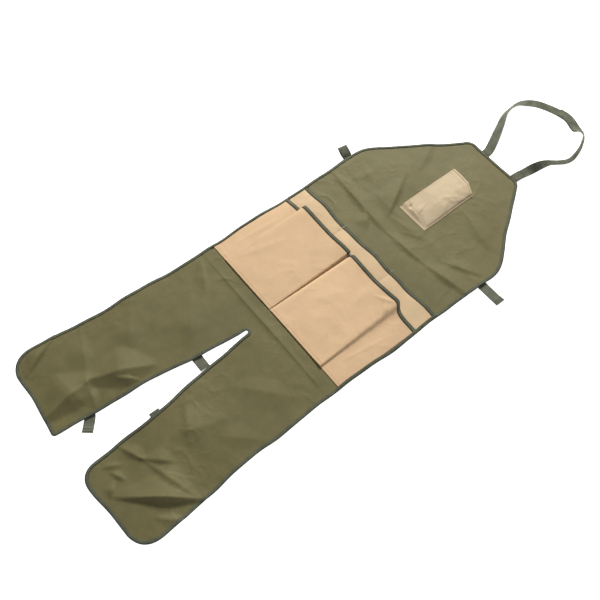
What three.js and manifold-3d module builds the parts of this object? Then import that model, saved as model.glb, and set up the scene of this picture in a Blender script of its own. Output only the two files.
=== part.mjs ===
import * as THREE from "three";
import { mergeVertices } from "three/addons/utils/BufferGeometryUtils.js";
import Module from "manifold-3d";

// Artist smock apron with split legs, lying face up. Millimetres, neck toward +Y, face toward +Z.

// Whole outline, measured from the crotch level along the length
const CROTCH_Y = 0;
const HEM_Y = -482;
const WAIST_Y = 442;
const NECK_Y = 792;
const HINGE_Y = -10;
const BODY_HALF = 246;
const NECK_HALF = 66;
const BIB_CORNER_HALF = 97;
const BIB_CORNER_DROP = 18;
const BIB_SHOULDER_HALF = 226;
const BIB_SHOULDER_RISE = 154;
const ARMHOLE_END_RISE = 82;
const HEM_HALF = 274;
const HEM_SLIT_HALF = 55;
const SLIT_TOP_HALF = 5;
const LEFT_OUTER_RADIUS = 46;
const LEFT_INNER_RADIUS = 8;
const RIGHT_OUTER_RADIUS = 46;
const RIGHT_INNER_RADIUS = 42;
const STRAIGHT_LEAD = 12;

// Layers, from the table up
const WEB_THICK = 1.2;
const WEB_WIDTH = 25;
const TAPE_THICK = 0.5;
const TAPE_WIDTH = 10;
const CANVAS_THICK = 1.0;
const GAP = 0.3;
const SPLIT_GAP = 0.6;
const TAPE_BOTTOM = WEB_THICK + GAP;
const CANVAS_BOTTOM = TAPE_BOTTOM + TAPE_THICK + GAP;
const CANVAS_TOP = CANVAS_BOTTOM + CANVAS_THICK;
const TAPE_TOP = CANVAS_TOP + GAP + TAPE_THICK;
const PANEL_BASE = CANVAS_TOP + GAP;

// Pockets
const CLOTH = 1.0;
const REAR_EDGE_INSET = 2;
const REAR_HALF = BODY_HALF - TAPE_WIDTH - REAR_EDGE_INSET;
const REAR_BOTTOM_Y = 72;
const REAR_MOUTH_Y = 362;
const REAR_MOUTH_RISE = 5.2;
const REAR_DIVIDER = 85;
const SEAM_WIDTH = 3;
const FRONT_MOUTH_Y = 317;
const FRONT_MOUTH_RISE = 10;
const FRONT_PLEAT_RISE = 5;
const FRONT_CENTRE_X = -12;
const LEFT_PLEAT_X = -190;
const RIGHT_PLEAT_X = 177;
const POCKET_BOTTOM_RISE = 0.8;
const CHEST_HALF = 46;
const CHEST_ABOVE_WAIST = 64;
const CHEST_BELOW_NECK = 102;
const CHEST_BOTTOM_Y = WAIST_Y + CHEST_ABOVE_WAIST;
const CHEST_MOUTH_Y = NECK_Y - CHEST_BELOW_NECK;
const CHEST_MOUTH_RISE = 13;
const CHEST_BOTTOM_RISE = 3;
const TACK_LENGTH = 9;
const TACK_WIDTH = 2;
const TACK_THICK = 0.6;

// Straps
const LEFT_STRAP_X = -37;
const RIGHT_STRAP_X = 68;
const STRAP_TUCK = 22;
const LOOP_STATIONS = 72;
const CLOSURE_FIRST = 34;
const CLOSURE_LAST = 42;
const CLOSURE_WIDTH = 21;
const CLOSURE_THICK = 0.8;
const WAIST_STRAP_RISE = 66;
const WAIST_STRAP_Y = WAIST_Y + WAIST_STRAP_RISE;
const WAIST_LOOP_OUT = 40;
const WAIST_STRAP_OUT = 62;
const WAIST_LOOP_TURN = 10;
const WAIST_LOOP_CLEAR = 5;
const WAIST_TUCK = 20;
const THIGH_STRAP_Y = -131;
const CALF_STRAP_Y = -392;
const KNEE_STRAP_Y = -280;
const CALF_TAB_OUT = 44;
const CALF_BEND_INSET = 4;
const CALF_TURN = 40;
const KNEE_NUB_OUT = 6;
const LEG_STRAP_INSET = 18;
const THIGH_CLEAR = 1;

const wasm = await Module();
wasm.setup();

const v2 = (x, y) => new THREE.Vector2(x, y);
const apron = new THREE.Group();
apron.name = "artist_smock_apron";

const COATS = {
  canvas: { color: 0x6f6a4c, roughness: 0.72, metalness: 0 },
  tape: { color: 0x5d6450, roughness: 0.8, metalness: 0 },
  pocket: { color: 0xd9bb93, roughness: 0.8, metalness: 0 },
  chest: { color: 0xdcc9a8, roughness: 0.8, metalness: 0 },
  webbing: { color: 0x7a8068, roughness: 0.85, metalness: 0 },
  thread: { color: 0xe6e2d6, roughness: 0.7, metalness: 0 },
  closure: { color: 0x55594a, roughness: 0.95, metalness: 0 },
};

function addPiece(name, geometry, coat) {
  const material = new THREE.MeshStandardMaterial(COATS[coat]);
  material.name = name + "_" + coat;
  const mesh = new THREE.Mesh(geometry, material);
  mesh.name = name;
  apron.add(mesh);
  return mesh;
}

function toSolid(geometry) {
  const bare = new THREE.BufferGeometry();
  bare.setAttribute("position", geometry.getAttribute("position").clone());
  if (geometry.index) {
    bare.setIndex(geometry.index.clone());
  }
  const welded = mergeVertices(bare, 1e-5);
  return new wasm.Manifold(new wasm.Mesh({
    numProp: 3,
    vertProperties: new Float32Array(welded.getAttribute("position").array),
    triVerts: new Uint32Array(welded.index.array),
  }));
}

function toGeometry(solid) {
  const mesh = solid.getMesh();
  const geometry = new THREE.BufferGeometry();
  geometry.setAttribute("position", new THREE.BufferAttribute(new Float32Array(mesh.vertProperties), 3));
  geometry.setIndex(new THREE.BufferAttribute(new Uint32Array(mesh.triVerts), 1));
  geometry.computeVertexNormals();
  return geometry;
}

// A flat panel cut to an outline
function plate(points, bottom, top) {
  const geometry = new THREE.ExtrudeGeometry(new THREE.Shape(points), {
    depth: top - bottom,
    bevelEnabled: false,
  });
  geometry.translate(0, 0, bottom);
  return geometry;
}

// Outward direction and corner stretch at every point of an open edge line
function edgeNormals(line, side) {
  const normals = [];
  for (let i = 0; i < line.length; i += 1) {
    const before = line[Math.max(i - 1, 0)];
    const here = line[i];
    const after = line[Math.min(i + 1, line.length - 1)];
    const a = here.clone().sub(before);
    const b = after.clone().sub(here);
    if (a.lengthSq() < 1e-9) {
      a.copy(b);
    }
    if (b.lengthSq() < 1e-9) {
      b.copy(a);
    }
    a.normalize();
    b.normalize();
    const na = v2(a.y, -a.x).multiplyScalar(side);
    const nb = v2(b.y, -b.x).multiplyScalar(side);
    const n = na.clone().add(nb).normalize();
    normals.push(n.multiplyScalar(1 / Math.max(n.dot(na), 0.5)));
  }
  return normals;
}

// A folded tape wrapped over a panel edge: a U section carried along the edge line
function edgeTape(line, side) {
  const lip = TAPE_WIDTH - GAP - TAPE_THICK;
  const out = GAP + TAPE_THICK;
  const section = new THREE.Shape([
    v2(-lip, TAPE_BOTTOM),
    v2(out, TAPE_BOTTOM),
    v2(out, TAPE_TOP),
    v2(-lip, TAPE_TOP),
    v2(-lip, TAPE_TOP - TAPE_THICK),
    v2(GAP, TAPE_TOP - TAPE_THICK),
    v2(GAP, TAPE_BOTTOM + TAPE_THICK),
    v2(-lip, TAPE_BOTTOM + TAPE_THICK),
  ]);
  const steps = line.length - 1;
  const geometry = new THREE.ExtrudeGeometry(section, { depth: steps, steps, bevelEnabled: false });
  const normals = edgeNormals(line, side);
  const position = geometry.getAttribute("position");
  for (let i = 0; i < position.count; i += 1) {
    const station = Math.round(position.getZ(i));
    const across = position.getX(i);
    const height = position.getY(i);
    const p = line[station].clone().addScaledVector(normals[station], across);
    position.setXYZ(i, p.x, p.y, height);
  }
  return toGeometry(toSolid(orient(geometry)));
}

// Turns every face outward when the carried section came out inside out
function orient(geometry) {
  const bare = new THREE.BufferGeometry();
  bare.setAttribute("position", geometry.getAttribute("position").clone());
  if (geometry.index) {
    bare.setIndex(geometry.index.clone());
  }
  const welded = mergeVertices(bare, 1e-5);
  const index = welded.index.array;
  const position = welded.getAttribute("position");
  const corner = [new THREE.Vector3(), new THREE.Vector3(), new THREE.Vector3()];
  let volume = 0;
  for (let i = 0; i < index.length; i += 3) {
    corner.forEach((c, k) => c.fromBufferAttribute(position, index[i + k]));
    volume += corner[0].dot(corner[1].clone().cross(corner[2])) / 6;
  }
  if (volume < 0) {
    for (let i = 0; i < index.length; i += 3) {
      const keep = index[i];
      index[i] = index[i + 1];
      index[i + 1] = keep;
    }
  }
  return welded;
}

// ---------- outline lines ----------

const armhole = new THREE.CubicBezierCurve(
  v2(BIB_SHOULDER_HALF, WAIST_Y + BIB_SHOULDER_RISE),
  v2(BIB_SHOULDER_HALF + 8, WAIST_Y + BIB_SHOULDER_RISE - 14),
  v2(BODY_HALF, WAIST_Y + ARMHOLE_END_RISE + 36),
  v2(BODY_HALF, WAIST_Y + ARMHOLE_END_RISE),
);
const neckCorner = new THREE.QuadraticBezierCurve(
  v2(NECK_HALF + STRAIGHT_LEAD / 3, NECK_Y),
  v2(BIB_CORNER_HALF - 8, NECK_Y),
  v2(BIB_CORNER_HALF, NECK_Y - BIB_CORNER_DROP),
);

function mirrorLine(line) {
  return line.map((p) => v2(-p.x, p.y));
}

// Bib side from the neck edge down to the waist fold, wearer's left seen from the front is -X
const rightBibSide = [
  v2(NECK_HALF, NECK_Y),
  ...neckCorner.getPoints(4),
  ...armhole.getPoints(6),
  v2(BODY_HALF, WAIST_Y + SPLIT_GAP / 2),
];
const leftBibSide = mirrorLine(rightBibSide);

const rightMidSide = [v2(BODY_HALF, WAIST_Y - SPLIT_GAP / 2), v2(BODY_HALF, HINGE_Y + SPLIT_GAP / 2)];
const leftMidSide = mirrorLine(rightMidSide);

const slitTop = new THREE.Vector2(SLIT_TOP_HALF, HINGE_Y + SPLIT_GAP / 2);
const crotchArc = [];
for (let i = 0; i <= 6; i += 1) {
  const angle = Math.PI - (i * Math.PI) / 6;
  const rise = SLIT_TOP_HALF * Math.sin(angle) - SLIT_TOP_HALF;
  crotchArc.push(v2(SLIT_TOP_HALF * Math.cos(angle), CROTCH_Y + rise));
}
const crotchLine = [v2(-slitTop.x, slitTop.y), ...crotchArc, v2(slitTop.x, slitTop.y)];

// One leg edge: outer side down, round the hem, inner side up
function legLine(outerRadius, innerRadius) {
  const top = HINGE_Y - SPLIT_GAP / 2;
  const points = [v2(BODY_HALF, top), v2(BODY_HALF, top - STRAIGHT_LEAD), v2(BODY_HALF + 4, top - 130)];
  const outerCorner = new THREE.QuadraticBezierCurve(
    v2(HEM_HALF - 2, HEM_Y + 26 + outerRadius),
    v2(HEM_HALF, HEM_Y + 18),
    v2(HEM_HALF - outerRadius, HEM_Y + 8),
  );
  const innerCorner = new THREE.QuadraticBezierCurve(
    v2(HEM_SLIT_HALF + innerRadius, HEM_Y),
    v2(HEM_SLIT_HALF, HEM_Y - 2),
    v2(HEM_SLIT_HALF - innerRadius * 0.08, HEM_Y + innerRadius),
  );
  points.push(...outerCorner.getPoints(5));
  points.push(...innerCorner.getPoints(innerRadius > 20 ? 5 : 2));
  points.push(v2(30, HINGE_Y - 210));
  points.push(v2(SLIT_TOP_HALF, top - STRAIGHT_LEAD));
  points.push(v2(SLIT_TOP_HALF, top));
  return points;
}
const rightLegLine = legLine(RIGHT_OUTER_RADIUS, RIGHT_INNER_RADIUS);
const leftLegLine = mirrorLine(legLine(LEFT_OUTER_RADIUS, LEFT_INNER_RADIUS));

// ---------- canvas panels ----------

addPiece("bib_panel", plate(
  [...rightBibSide, ...[...leftBibSide].reverse()],
  CANVAS_BOTTOM,
  CANVAS_TOP,
), "canvas");
addPiece("mid_panel", plate(
  [...leftMidSide, ...crotchLine, ...[...rightMidSide].reverse()],
  CANVAS_BOTTOM,
  CANVAS_TOP,
), "canvas");
addPiece("left_leg_panel", plate(leftLegLine, CANVAS_BOTTOM, CANVAS_TOP), "canvas");
addPiece("right_leg_panel", plate(rightLegLine, CANVAS_BOTTOM, CANVAS_TOP), "canvas");

// ---------- edge tape ----------

const neckEdge = [v2(-NECK_HALF + GAP, NECK_Y), v2(NECK_HALF - GAP, NECK_Y)];
addPiece("neck_binding", edgeTape(neckEdge, -1), "tape");
addPiece("bib_left_binding", edgeTape(leftBibSide, 1), "tape");
addPiece("bib_right_binding", edgeTape(rightBibSide, -1), "tape");
addPiece("mid_left_binding", edgeTape(leftMidSide, 1), "tape");
addPiece("mid_right_binding", edgeTape(rightMidSide, -1), "tape");
addPiece("left_leg_binding", edgeTape(leftLegLine, 1), "tape");
addPiece("right_leg_binding", edgeTape(rightLegLine, -1), "tape");
addPiece("crotch_binding", edgeTape(crotchLine, 1), "tape");

// ---------- pockets ----------

const rearRise = (y) => {
  const along = (y - REAR_BOTTOM_Y) / (REAR_MOUTH_Y - REAR_BOTTOM_Y);
  return POCKET_BOTTOM_RISE + (REAR_MOUTH_RISE - POCKET_BOTTOM_RISE) * along;
};
const frontBase = (y) => PANEL_BASE + rearRise(y) + CLOTH + GAP;

// A tapered block: a section in X and Z drawn out along Y, its base and its height set at each end
function taper(profile, yLow, yHigh, heightAt, baseAt, sink) {
  const shape = new THREE.Shape(profile.map((p) => v2(p[0], p[1])));
  const geometry = new THREE.ExtrudeGeometry(shape, { depth: 1, steps: 1, bevelEnabled: false });
  const position = geometry.getAttribute("position");
  for (let i = 0; i < position.count; i += 1) {
    const y = position.getZ(i) > 0.5 ? yHigh : yLow;
    const level = position.getY(i);
    const z = level > 0 ? baseAt(y) + heightAt(y, level) : baseAt(y) - sink;
    position.setXYZ(i, position.getX(i), y, z);
  }
  return toSolid(orient(geometry));
}

// Section of a pocket, grown by d: level 1 is the pleated fold, level 2 the raised face
function sectionOf(pocket, d) {
  const { x0, x1, pleat } = pocket;
  if (pleat === null) {
    return [[x0 - d, 0], [x1 + d, 0], [x1 + d, 2], [x0 - d, 2]];
  }
  if (pleat < (x0 + x1) / 2) {
    return [[x0 - d, 0], [x1 + d, 0], [x1 + d, 2], [pleat - d, 2], [pleat - d, 1], [x0 - d, 1]];
  }
  return [[x0 - d, 0], [x1 + d, 0], [x1 + d, 1], [pleat + d, 1], [pleat + d, 2], [x0 - d, 2]];
}

function blockOf(pocket, d, yLow, yHigh, lift, sink) {
  const span = pocket.mouthY - pocket.bottomY;
  const heightAt = (y, level) => {
    const along = (y - pocket.bottomY) / span;
    const mouth = level > 1.5 ? pocket.rise : pocket.pleatRise;
    return pocket.bottomRise + (mouth - pocket.bottomRise) * along + lift;
  };
  return taper(sectionOf(pocket, d), yLow, yHigh, heightAt, pocket.baseAt, sink);
}

function pocketShell(pocket) {
  const outer = blockOf(pocket, 0, pocket.bottomY, pocket.mouthY, CLOTH, 0);
  let shell = outer.subtract(blockOf(pocket, -CLOTH, pocket.bottomY + SEAM_WIDTH, pocket.mouthY + 5, 0, 5));
  for (const x of pocket.dividers) {
    const wall = blockOf(
      { ...pocket, x0: x - SEAM_WIDTH / 2, x1: x + SEAM_WIDTH / 2, pleat: null },
      0, pocket.bottomY + 1, pocket.mouthY - TAPE_WIDTH - 2, CLOTH / 2, 0,
    );
    shell = shell.add(wall);
  }
  return toGeometry(shell);
}

// Tape folded over a pocket mouth, following the raised edge
function mouthTape(pocket) {
  const c = GAP;
  const t = GAP + TAPE_THICK;
  const start = pocket.mouthY - TAPE_WIDTH + t;
  const low = GAP;
  const band = blockOf(pocket, t, start, pocket.mouthY + t, CLOTH + t, -low)
    .subtract(blockOf(pocket, -CLOTH - t, start - 5, pocket.mouthY + 5, -t, 5));
  const cloth = blockOf(pocket, c, start - 5, pocket.mouthY + c, CLOTH + c, 5)
    .subtract(blockOf(pocket, -CLOTH - c, start - 6, pocket.mouthY + 5, -c, 6));
  return toGeometry(band.subtract(cloth));
}

const rearPocket = {
  x0: -REAR_HALF, x1: REAR_HALF, pleat: null,
  bottomY: REAR_BOTTOM_Y, mouthY: REAR_MOUTH_Y,
  rise: REAR_MOUTH_RISE, pleatRise: 0, bottomRise: POCKET_BOTTOM_RISE,
  baseAt: () => PANEL_BASE, dividers: [-REAR_DIVIDER, REAR_DIVIDER],
};
const frontCommon = {
  bottomY: REAR_BOTTOM_Y, mouthY: FRONT_MOUTH_Y,
  rise: FRONT_MOUTH_RISE, pleatRise: FRONT_PLEAT_RISE, bottomRise: POCKET_BOTTOM_RISE,
  baseAt: frontBase, dividers: [],
};
const frontSide = GAP + TAPE_THICK;
const leftFront = {
  ...frontCommon, x0: -REAR_HALF, x1: FRONT_CENTRE_X - frontSide - GAP, pleat: LEFT_PLEAT_X,
};
const rightFront = {
  ...frontCommon, x0: FRONT_CENTRE_X + frontSide + GAP, x1: REAR_HALF, pleat: RIGHT_PLEAT_X,
};
const chest = {
  x0: -CHEST_HALF, x1: CHEST_HALF, pleat: null,
  bottomY: CHEST_BOTTOM_Y, mouthY: CHEST_MOUTH_Y,
  rise: CHEST_MOUTH_RISE, pleatRise: 0, bottomRise: CHEST_BOTTOM_RISE,
  baseAt: () => PANEL_BASE, dividers: [],
};

addPiece("rear_pocket", pocketShell(rearPocket), "pocket");
addPiece("rear_pocket_binding", mouthTape(rearPocket), "tape");
addPiece("left_front_pocket", pocketShell(leftFront), "pocket");
addPiece("left_front_pocket_binding", mouthTape(leftFront), "tape");
addPiece("right_front_pocket", pocketShell(rightFront), "pocket");
addPiece("right_front_pocket_binding", mouthTape(rightFront), "tape");
addPiece("chest_pocket", pocketShell(chest), "chest");

// Bar tack: a short run of thread with rounded ends
function tack(x, y, base) {
  const r = TACK_WIDTH / 2;
  const half = TACK_LENGTH / 2 - r;
  const shape = new THREE.Shape();
  shape.absarc(0, half, r, 0, Math.PI, false);
  shape.absarc(0, -half, r, Math.PI, 2 * Math.PI, false);
  const geometry = new THREE.ExtrudeGeometry(shape, {
    depth: TACK_THICK,
    bevelEnabled: false,
    curveSegments: 4,
  });
  geometry.translate(x, y, base);
  return geometry;
}
const rearTackY = REAR_MOUTH_Y - TAPE_WIDTH / 2;
const rearTackBase = PANEL_BASE + REAR_MOUTH_RISE + CLOTH + 2 * GAP + TAPE_THICK;
addPiece("rear_tack_left", tack(-REAR_DIVIDER, rearTackY, rearTackBase), "thread");
addPiece("rear_tack_right", tack(REAR_DIVIDER, rearTackY, rearTackBase), "thread");
const frontTop = (y) => {
  const along = (y - REAR_BOTTOM_Y) / (FRONT_MOUTH_Y - REAR_BOTTOM_Y);
  return frontBase(y) + POCKET_BOTTOM_RISE + (FRONT_MOUTH_RISE - POCKET_BOTTOM_RISE) * along + CLOTH;
};
const frontTackY = FRONT_MOUTH_Y - TAPE_WIDTH / 2;
const frontTackBase = frontTop(FRONT_MOUTH_Y) + 2 * GAP + TAPE_THICK;
addPiece("front_tack_left", tack(leftFront.x1 - TACK_WIDTH, frontTackY, frontTackBase), "thread");
addPiece("front_tack_right", tack(rightFront.x0 + TACK_WIDTH, frontTackY, frontTackBase), "thread");

// ---------- neck strap ----------

// Centre line of the loop: offset from the neck edge, and how far the webbing leans off flat (degrees)
const loopStops = [
  [LEFT_STRAP_X, -STRAP_TUCK, 0],
  [LEFT_STRAP_X, 13, 0],
  [LEFT_STRAP_X - 13, 45, 8],
  [LEFT_STRAP_X - 38, 93, 30],
  [LEFT_STRAP_X - 60, 135, 52],
  [LEFT_STRAP_X - 65, 172, 46],
  [LEFT_STRAP_X - 60, 206, 12],
  [LEFT_STRAP_X - 40, 232, 0],
  [LEFT_STRAP_X - 6, 249, 0],
  [LEFT_STRAP_X + 34, 260, 0],
  [RIGHT_STRAP_X - 46, 259.6, 2],
  [RIGHT_STRAP_X - 12, 248, 6],
  [RIGHT_STRAP_X + 20, 236, 78],
  [RIGHT_STRAP_X + 39, 207, 91],
  [RIGHT_STRAP_X + 51, 168, 92],
  [RIGHT_STRAP_X + 50, 141, 108],
  [RIGHT_STRAP_X + 38, 120, 112],
  [RIGHT_STRAP_X + 27, 104, 94],
  [RIGHT_STRAP_X + 14, 74, 48],
  [RIGHT_STRAP_X + 4, 38, 4],
  [RIGHT_STRAP_X, 13, 0],
  [RIGHT_STRAP_X, -STRAP_TUCK, 0],
];
const loopCurve = new THREE.CatmullRomCurve3(
  loopStops.map((s) => new THREE.Vector3(s[0], NECK_Y + s[1], s[2])),
  false,
  "centripetal",
);
loopCurve.arcLengthDivisions = 400;
const flatCurve = new THREE.CatmullRomCurve3(
  loopCurve.getPoints(200).map((p) => new THREE.Vector3(p.x, p.y, 0)),
  false,
  "centripetal",
);
flatCurve.arcLengthDivisions = 800;
const LOOP_LENGTH = flatCurve.getLength();
const leanCurve = loopCurve.getPoints(200).map((p) => p.z);

function stationAt(s) {
  const u = THREE.MathUtils.clamp(s / LOOP_LENGTH, 0, 1);
  const t = flatCurve.getUtoTmapping(u);
  const p = flatCurve.getPoint(t);
  const tangent = flatCurve.getTangent(t);
  const slot = Math.min(Math.floor(t * 200), 199);
  const lean = THREE.MathUtils.lerp(leanCurve[slot], leanCurve[slot + 1], t * 200 - slot);
  return { p, tangent, lean: THREE.MathUtils.degToRad(Math.max(lean, 0)) };
}

// Both broad faces are split along the same diagonals, so a twisted strap keeps its thickness
function matchDiagonals(geometry) {
  const index = geometry.getIndex();
  const { start, count } = geometry.groups[3];
  for (let i = start; i < start + count; i += 6) {
    index.setX(i + 2, index.getX(i + 4));
    index.setX(i + 3, index.getX(i));
  }
}

// Webbing carried along the loop; the outer edge stays down and the inner edge lifts with the lean
function webbing(start, end, width, thick, liftAt, step) {
  const steps = Math.round((end - start) / step);
  const geometry = new THREE.BoxGeometry(width, thick, steps, 1, 1, steps);
  matchDiagonals(geometry);
  const position = geometry.getAttribute("position");
  for (let i = 0; i < position.count; i += 1) {
    const s = start + ((end - start) * Math.round(position.getZ(i) + steps / 2)) / steps;
    const { p, tangent, lean } = stationAt(s);
    const side = v2(tangent.y, -tangent.x);
    const a = position.getX(i);
    const b = position.getY(i) + liftAt(s);
    const across = a * Math.cos(lean) - b * Math.sin(lean);
    const up = a * Math.sin(lean) + b * Math.cos(lean);
    const rest = (WEB_WIDTH / 2) * Math.sin(lean) + (thick / 2) * Math.abs(Math.cos(lean));
    position.setXYZ(i, p.x + side.x * across, p.y + side.y * across, rest + up);
  }
  return toGeometry(toSolid(orient(geometry)));
}

// Both halves have their stations at the same places, so they lie true on each other at the closure
const station = LOOP_LENGTH / LOOP_STATIONS;
const closureStart = CLOSURE_FIRST * station;
const closureEnd = CLOSURE_LAST * station;
const CLOSURE_LIFT = WEB_THICK + 2 * CLOSURE_THICK + 3 * GAP;
const rampLift = (s) => {
  const t = THREE.MathUtils.smoothstep(s, closureEnd + 4, closureEnd + 46);
  return CLOSURE_LIFT * (1 - t);
};
addPiece("neck_strap_left", webbing(0, closureEnd, WEB_WIDTH, WEB_THICK, () => 0, station), "webbing");
addPiece("neck_strap_right", webbing(
  closureStart, LOOP_LENGTH, WEB_WIDTH, WEB_THICK, rampLift, station,
), "webbing");
const loopLift = () => WEB_THICK + GAP;
const hookLift = () => WEB_THICK + CLOSURE_THICK + 2 * GAP;
addPiece("neck_loop_patch", webbing(
  closureStart + station, closureEnd - station, CLOSURE_WIDTH, CLOSURE_THICK, loopLift, station,
), "closure");
addPiece("neck_hook_patch", webbing(
  closureStart + station, closureEnd - station, CLOSURE_WIDTH, CLOSURE_THICK, hookLift, station,
), "closure");

// ---------- straps sewn behind the edges ----------

// Flat webbing lying along X, from its sewn end to its free end
function flatStrap(xSewn, xFree, y, bottom, thick) {
  const left = Math.min(xSewn, xFree);
  const right = Math.max(xSewn, xFree);
  const half = WEB_WIDTH / 2;
  const corners = [v2(left, y - half), v2(right, y - half), v2(right, y + half), v2(left, y + half)];
  return plate(corners, bottom, bottom + thick);
}

// Webbing folded back on itself: a flat sewn tail, then a small hollow loop whose free end lifts
function foldedLoop(tail, reach) {
  const far = reach - WEB_THICK / 2;
  const fold = [
    [WAIST_LOOP_CLEAR, WEB_THICK / 2],
    [far * 0.36, 1.2],
    [far * 0.74, 4.2],
    [far * 0.94, 8],
    [far, 11],
    [far * 0.95, 13.6],
    [far * 0.84, 13.8],
    [far * 0.6, 11.2],
    [far * 0.34, 6.8],
    [WAIST_LOOP_CLEAR + 4, 2.6],
  ].map(([out, up]) => new THREE.Vector3(-out, up, 0));
  const line = new THREE.CatmullRomCurve3(fold, true, "centripetal");
  const middle = new wasm.CrossSection([line.getPoints(48).slice(0, -1).map((p) => [p.x, p.y])], "EvenOdd");
  const half = WEB_THICK / 2;
  const ring = middle.offset(half, "Round", 2, 12).subtract(middle.offset(-half, "Round", 2, 12));
  const tailBox = new wasm.CrossSection([
    [[-WAIST_LOOP_CLEAR - 3, 0], [tail, 0], [tail, WEB_THICK], [-WAIST_LOOP_CLEAR - 3, WEB_THICK]],
  ], "EvenOdd");
  return ring.add(tailBox).extrude(WEB_WIDTH, 0, 0, [1, 1], true).rotate([90, 0, 0]);
}

const bibEdge = BODY_HALF;
const loopTurn = THREE.MathUtils.degToRad(WAIST_LOOP_TURN);
const loopReach = (WAIST_LOOP_OUT - (WEB_WIDTH / 2) * Math.sin(loopTurn)) / Math.cos(loopTurn);
addPiece("left_waist_loop", toGeometry(
  foldedLoop(WAIST_TUCK, loopReach).rotate([0, 0, -WAIST_LOOP_TURN]).translate([-bibEdge, WAIST_STRAP_Y, 0]),
), "webbing");
addPiece("right_waist_strap", flatStrap(
  bibEdge - WAIST_TUCK, bibEdge + WAIST_STRAP_OUT, WAIST_STRAP_Y, 0, WEB_THICK,
), "webbing");

// Where a leg edge stands at a given height
function edgeX(line, y, outer) {
  const hits = [];
  for (let i = 0; i + 1 < line.length; i += 1) {
    const a = line[i];
    const b = line[i + 1];
    if ((a.y - y) * (b.y - y) <= 0 && a.y !== b.y) {
      hits.push(a.x + ((b.x - a.x) * (y - a.y)) / (b.y - a.y));
    }
  }
  const sorted = hits.sort((p, q) => Math.abs(p) - Math.abs(q));
  return outer ? sorted[sorted.length - 1] : sorted[0];
}

const thighSewn = edgeX(leftLegLine, THIGH_STRAP_Y, true) + LEG_STRAP_INSET;
const thighFree = edgeX(rightLegLine, THIGH_STRAP_Y + WEB_WIDTH / 2, false) - GAP - TAPE_THICK - THIGH_CLEAR;
addPiece("left_thigh_strap", flatStrap(thighSewn, thighFree, THIGH_STRAP_Y, 0, WEB_THICK), "webbing");

// The calf strap runs straight behind the leg and turns down where it leaves the inner edge
function turnedStrap(xSewn, xBend, y, turn, out) {
  const half = WEB_WIDTH / 2;
  const mitre = half * Math.tan(turn / 2);
  const along = v2(Math.cos(turn), -Math.sin(turn));
  const across = v2(-along.y, along.x);
  const end = v2(xBend, y).addScaledVector(along, out);
  return plate([
    v2(xSewn, y - half),
    v2(xBend - mitre, y - half),
    end.clone().addScaledVector(across, -half),
    end.clone().addScaledVector(across, half),
    v2(xBend + mitre, y + half),
    v2(xSewn, y + half),
  ], 0, WEB_THICK);
}

const calfSewn = edgeX(leftLegLine, CALF_STRAP_Y, true) + LEG_STRAP_INSET + 6;
const calfBend = edgeX(leftLegLine, CALF_STRAP_Y, false) - CALF_BEND_INSET;
const calfTurn = THREE.MathUtils.degToRad(CALF_TURN);
addPiece("left_calf_strap", turnedStrap(
  calfSewn, calfBend, CALF_STRAP_Y, calfTurn, CALF_TAB_OUT,
), "webbing");

const kneeSewn = edgeX(rightLegLine, KNEE_STRAP_Y, true) - LEG_STRAP_INSET;
const kneeFree = edgeX(rightLegLine, KNEE_STRAP_Y, false) - KNEE_NUB_OUT;
addPiece("right_knee_strap", flatStrap(kneeSewn, kneeFree, KNEE_STRAP_Y, 0, WEB_THICK), "webbing");

// Stand the part on its table with the middle of its box over the origin
const box = new THREE.Box3().setFromObject(apron);
const shift = new THREE.Vector3(
  -(box.min.x + box.max.x) / 2,
  -(box.min.y + box.max.y) / 2,
  -box.min.z,
);
for (const mesh of apron.children) {
  mesh.geometry.translate(shift.x, shift.y, shift.z);
}
apron.updateMatrixWorld(true);

export default apron;
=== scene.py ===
"""Looks of a split-leg artist's apron lying face up on a pale floor. Metres, neck toward +Y."""

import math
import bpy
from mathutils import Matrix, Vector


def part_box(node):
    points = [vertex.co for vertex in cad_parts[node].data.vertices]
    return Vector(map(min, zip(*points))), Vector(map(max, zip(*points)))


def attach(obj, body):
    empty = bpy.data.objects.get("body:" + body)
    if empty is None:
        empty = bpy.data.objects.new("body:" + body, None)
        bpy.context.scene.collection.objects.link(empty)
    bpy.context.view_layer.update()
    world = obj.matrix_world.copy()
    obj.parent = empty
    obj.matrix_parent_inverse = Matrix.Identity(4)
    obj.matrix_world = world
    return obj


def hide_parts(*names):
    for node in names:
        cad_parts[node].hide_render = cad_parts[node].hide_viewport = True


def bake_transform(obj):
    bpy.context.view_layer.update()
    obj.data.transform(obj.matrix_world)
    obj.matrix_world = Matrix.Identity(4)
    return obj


bl_info = {
    "name": "Split-leg artist's apron",
    "version": (1, 0, 0),
    "blender": (4, 5, 0),
    "location": "3D View > Sidebar > Apron",
    "description": "Canvas, bound edges, tool pockets and webbing straps of an artist's apron",
    "category": "Object",
}

import bpy
import numpy as np
from mathutils import Matrix, Vector
from mathutils.geometry import delaunay_2d_cdt
from mathutils.kdtree import KDTree

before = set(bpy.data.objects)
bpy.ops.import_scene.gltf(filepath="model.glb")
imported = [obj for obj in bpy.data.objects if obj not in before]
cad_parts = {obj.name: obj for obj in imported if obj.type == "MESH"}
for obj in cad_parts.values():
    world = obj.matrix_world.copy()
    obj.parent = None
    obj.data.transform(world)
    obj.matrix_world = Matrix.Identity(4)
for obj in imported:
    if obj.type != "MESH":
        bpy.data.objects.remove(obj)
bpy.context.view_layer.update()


def size_of(node):
    low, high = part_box(node)
    return np.array(low), np.array(high)


MID_LOW, MID_HIGH = size_of("mid_panel")
BIB_LOW, BIB_HIGH = size_of("bib_panel")
LEG_HIGH = size_of("left_leg_panel")[1]
REAR_LOW, REAR_HIGH = size_of("rear_pocket")
CHEST_LOW, CHEST_HIGH = size_of("chest_pocket")

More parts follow.
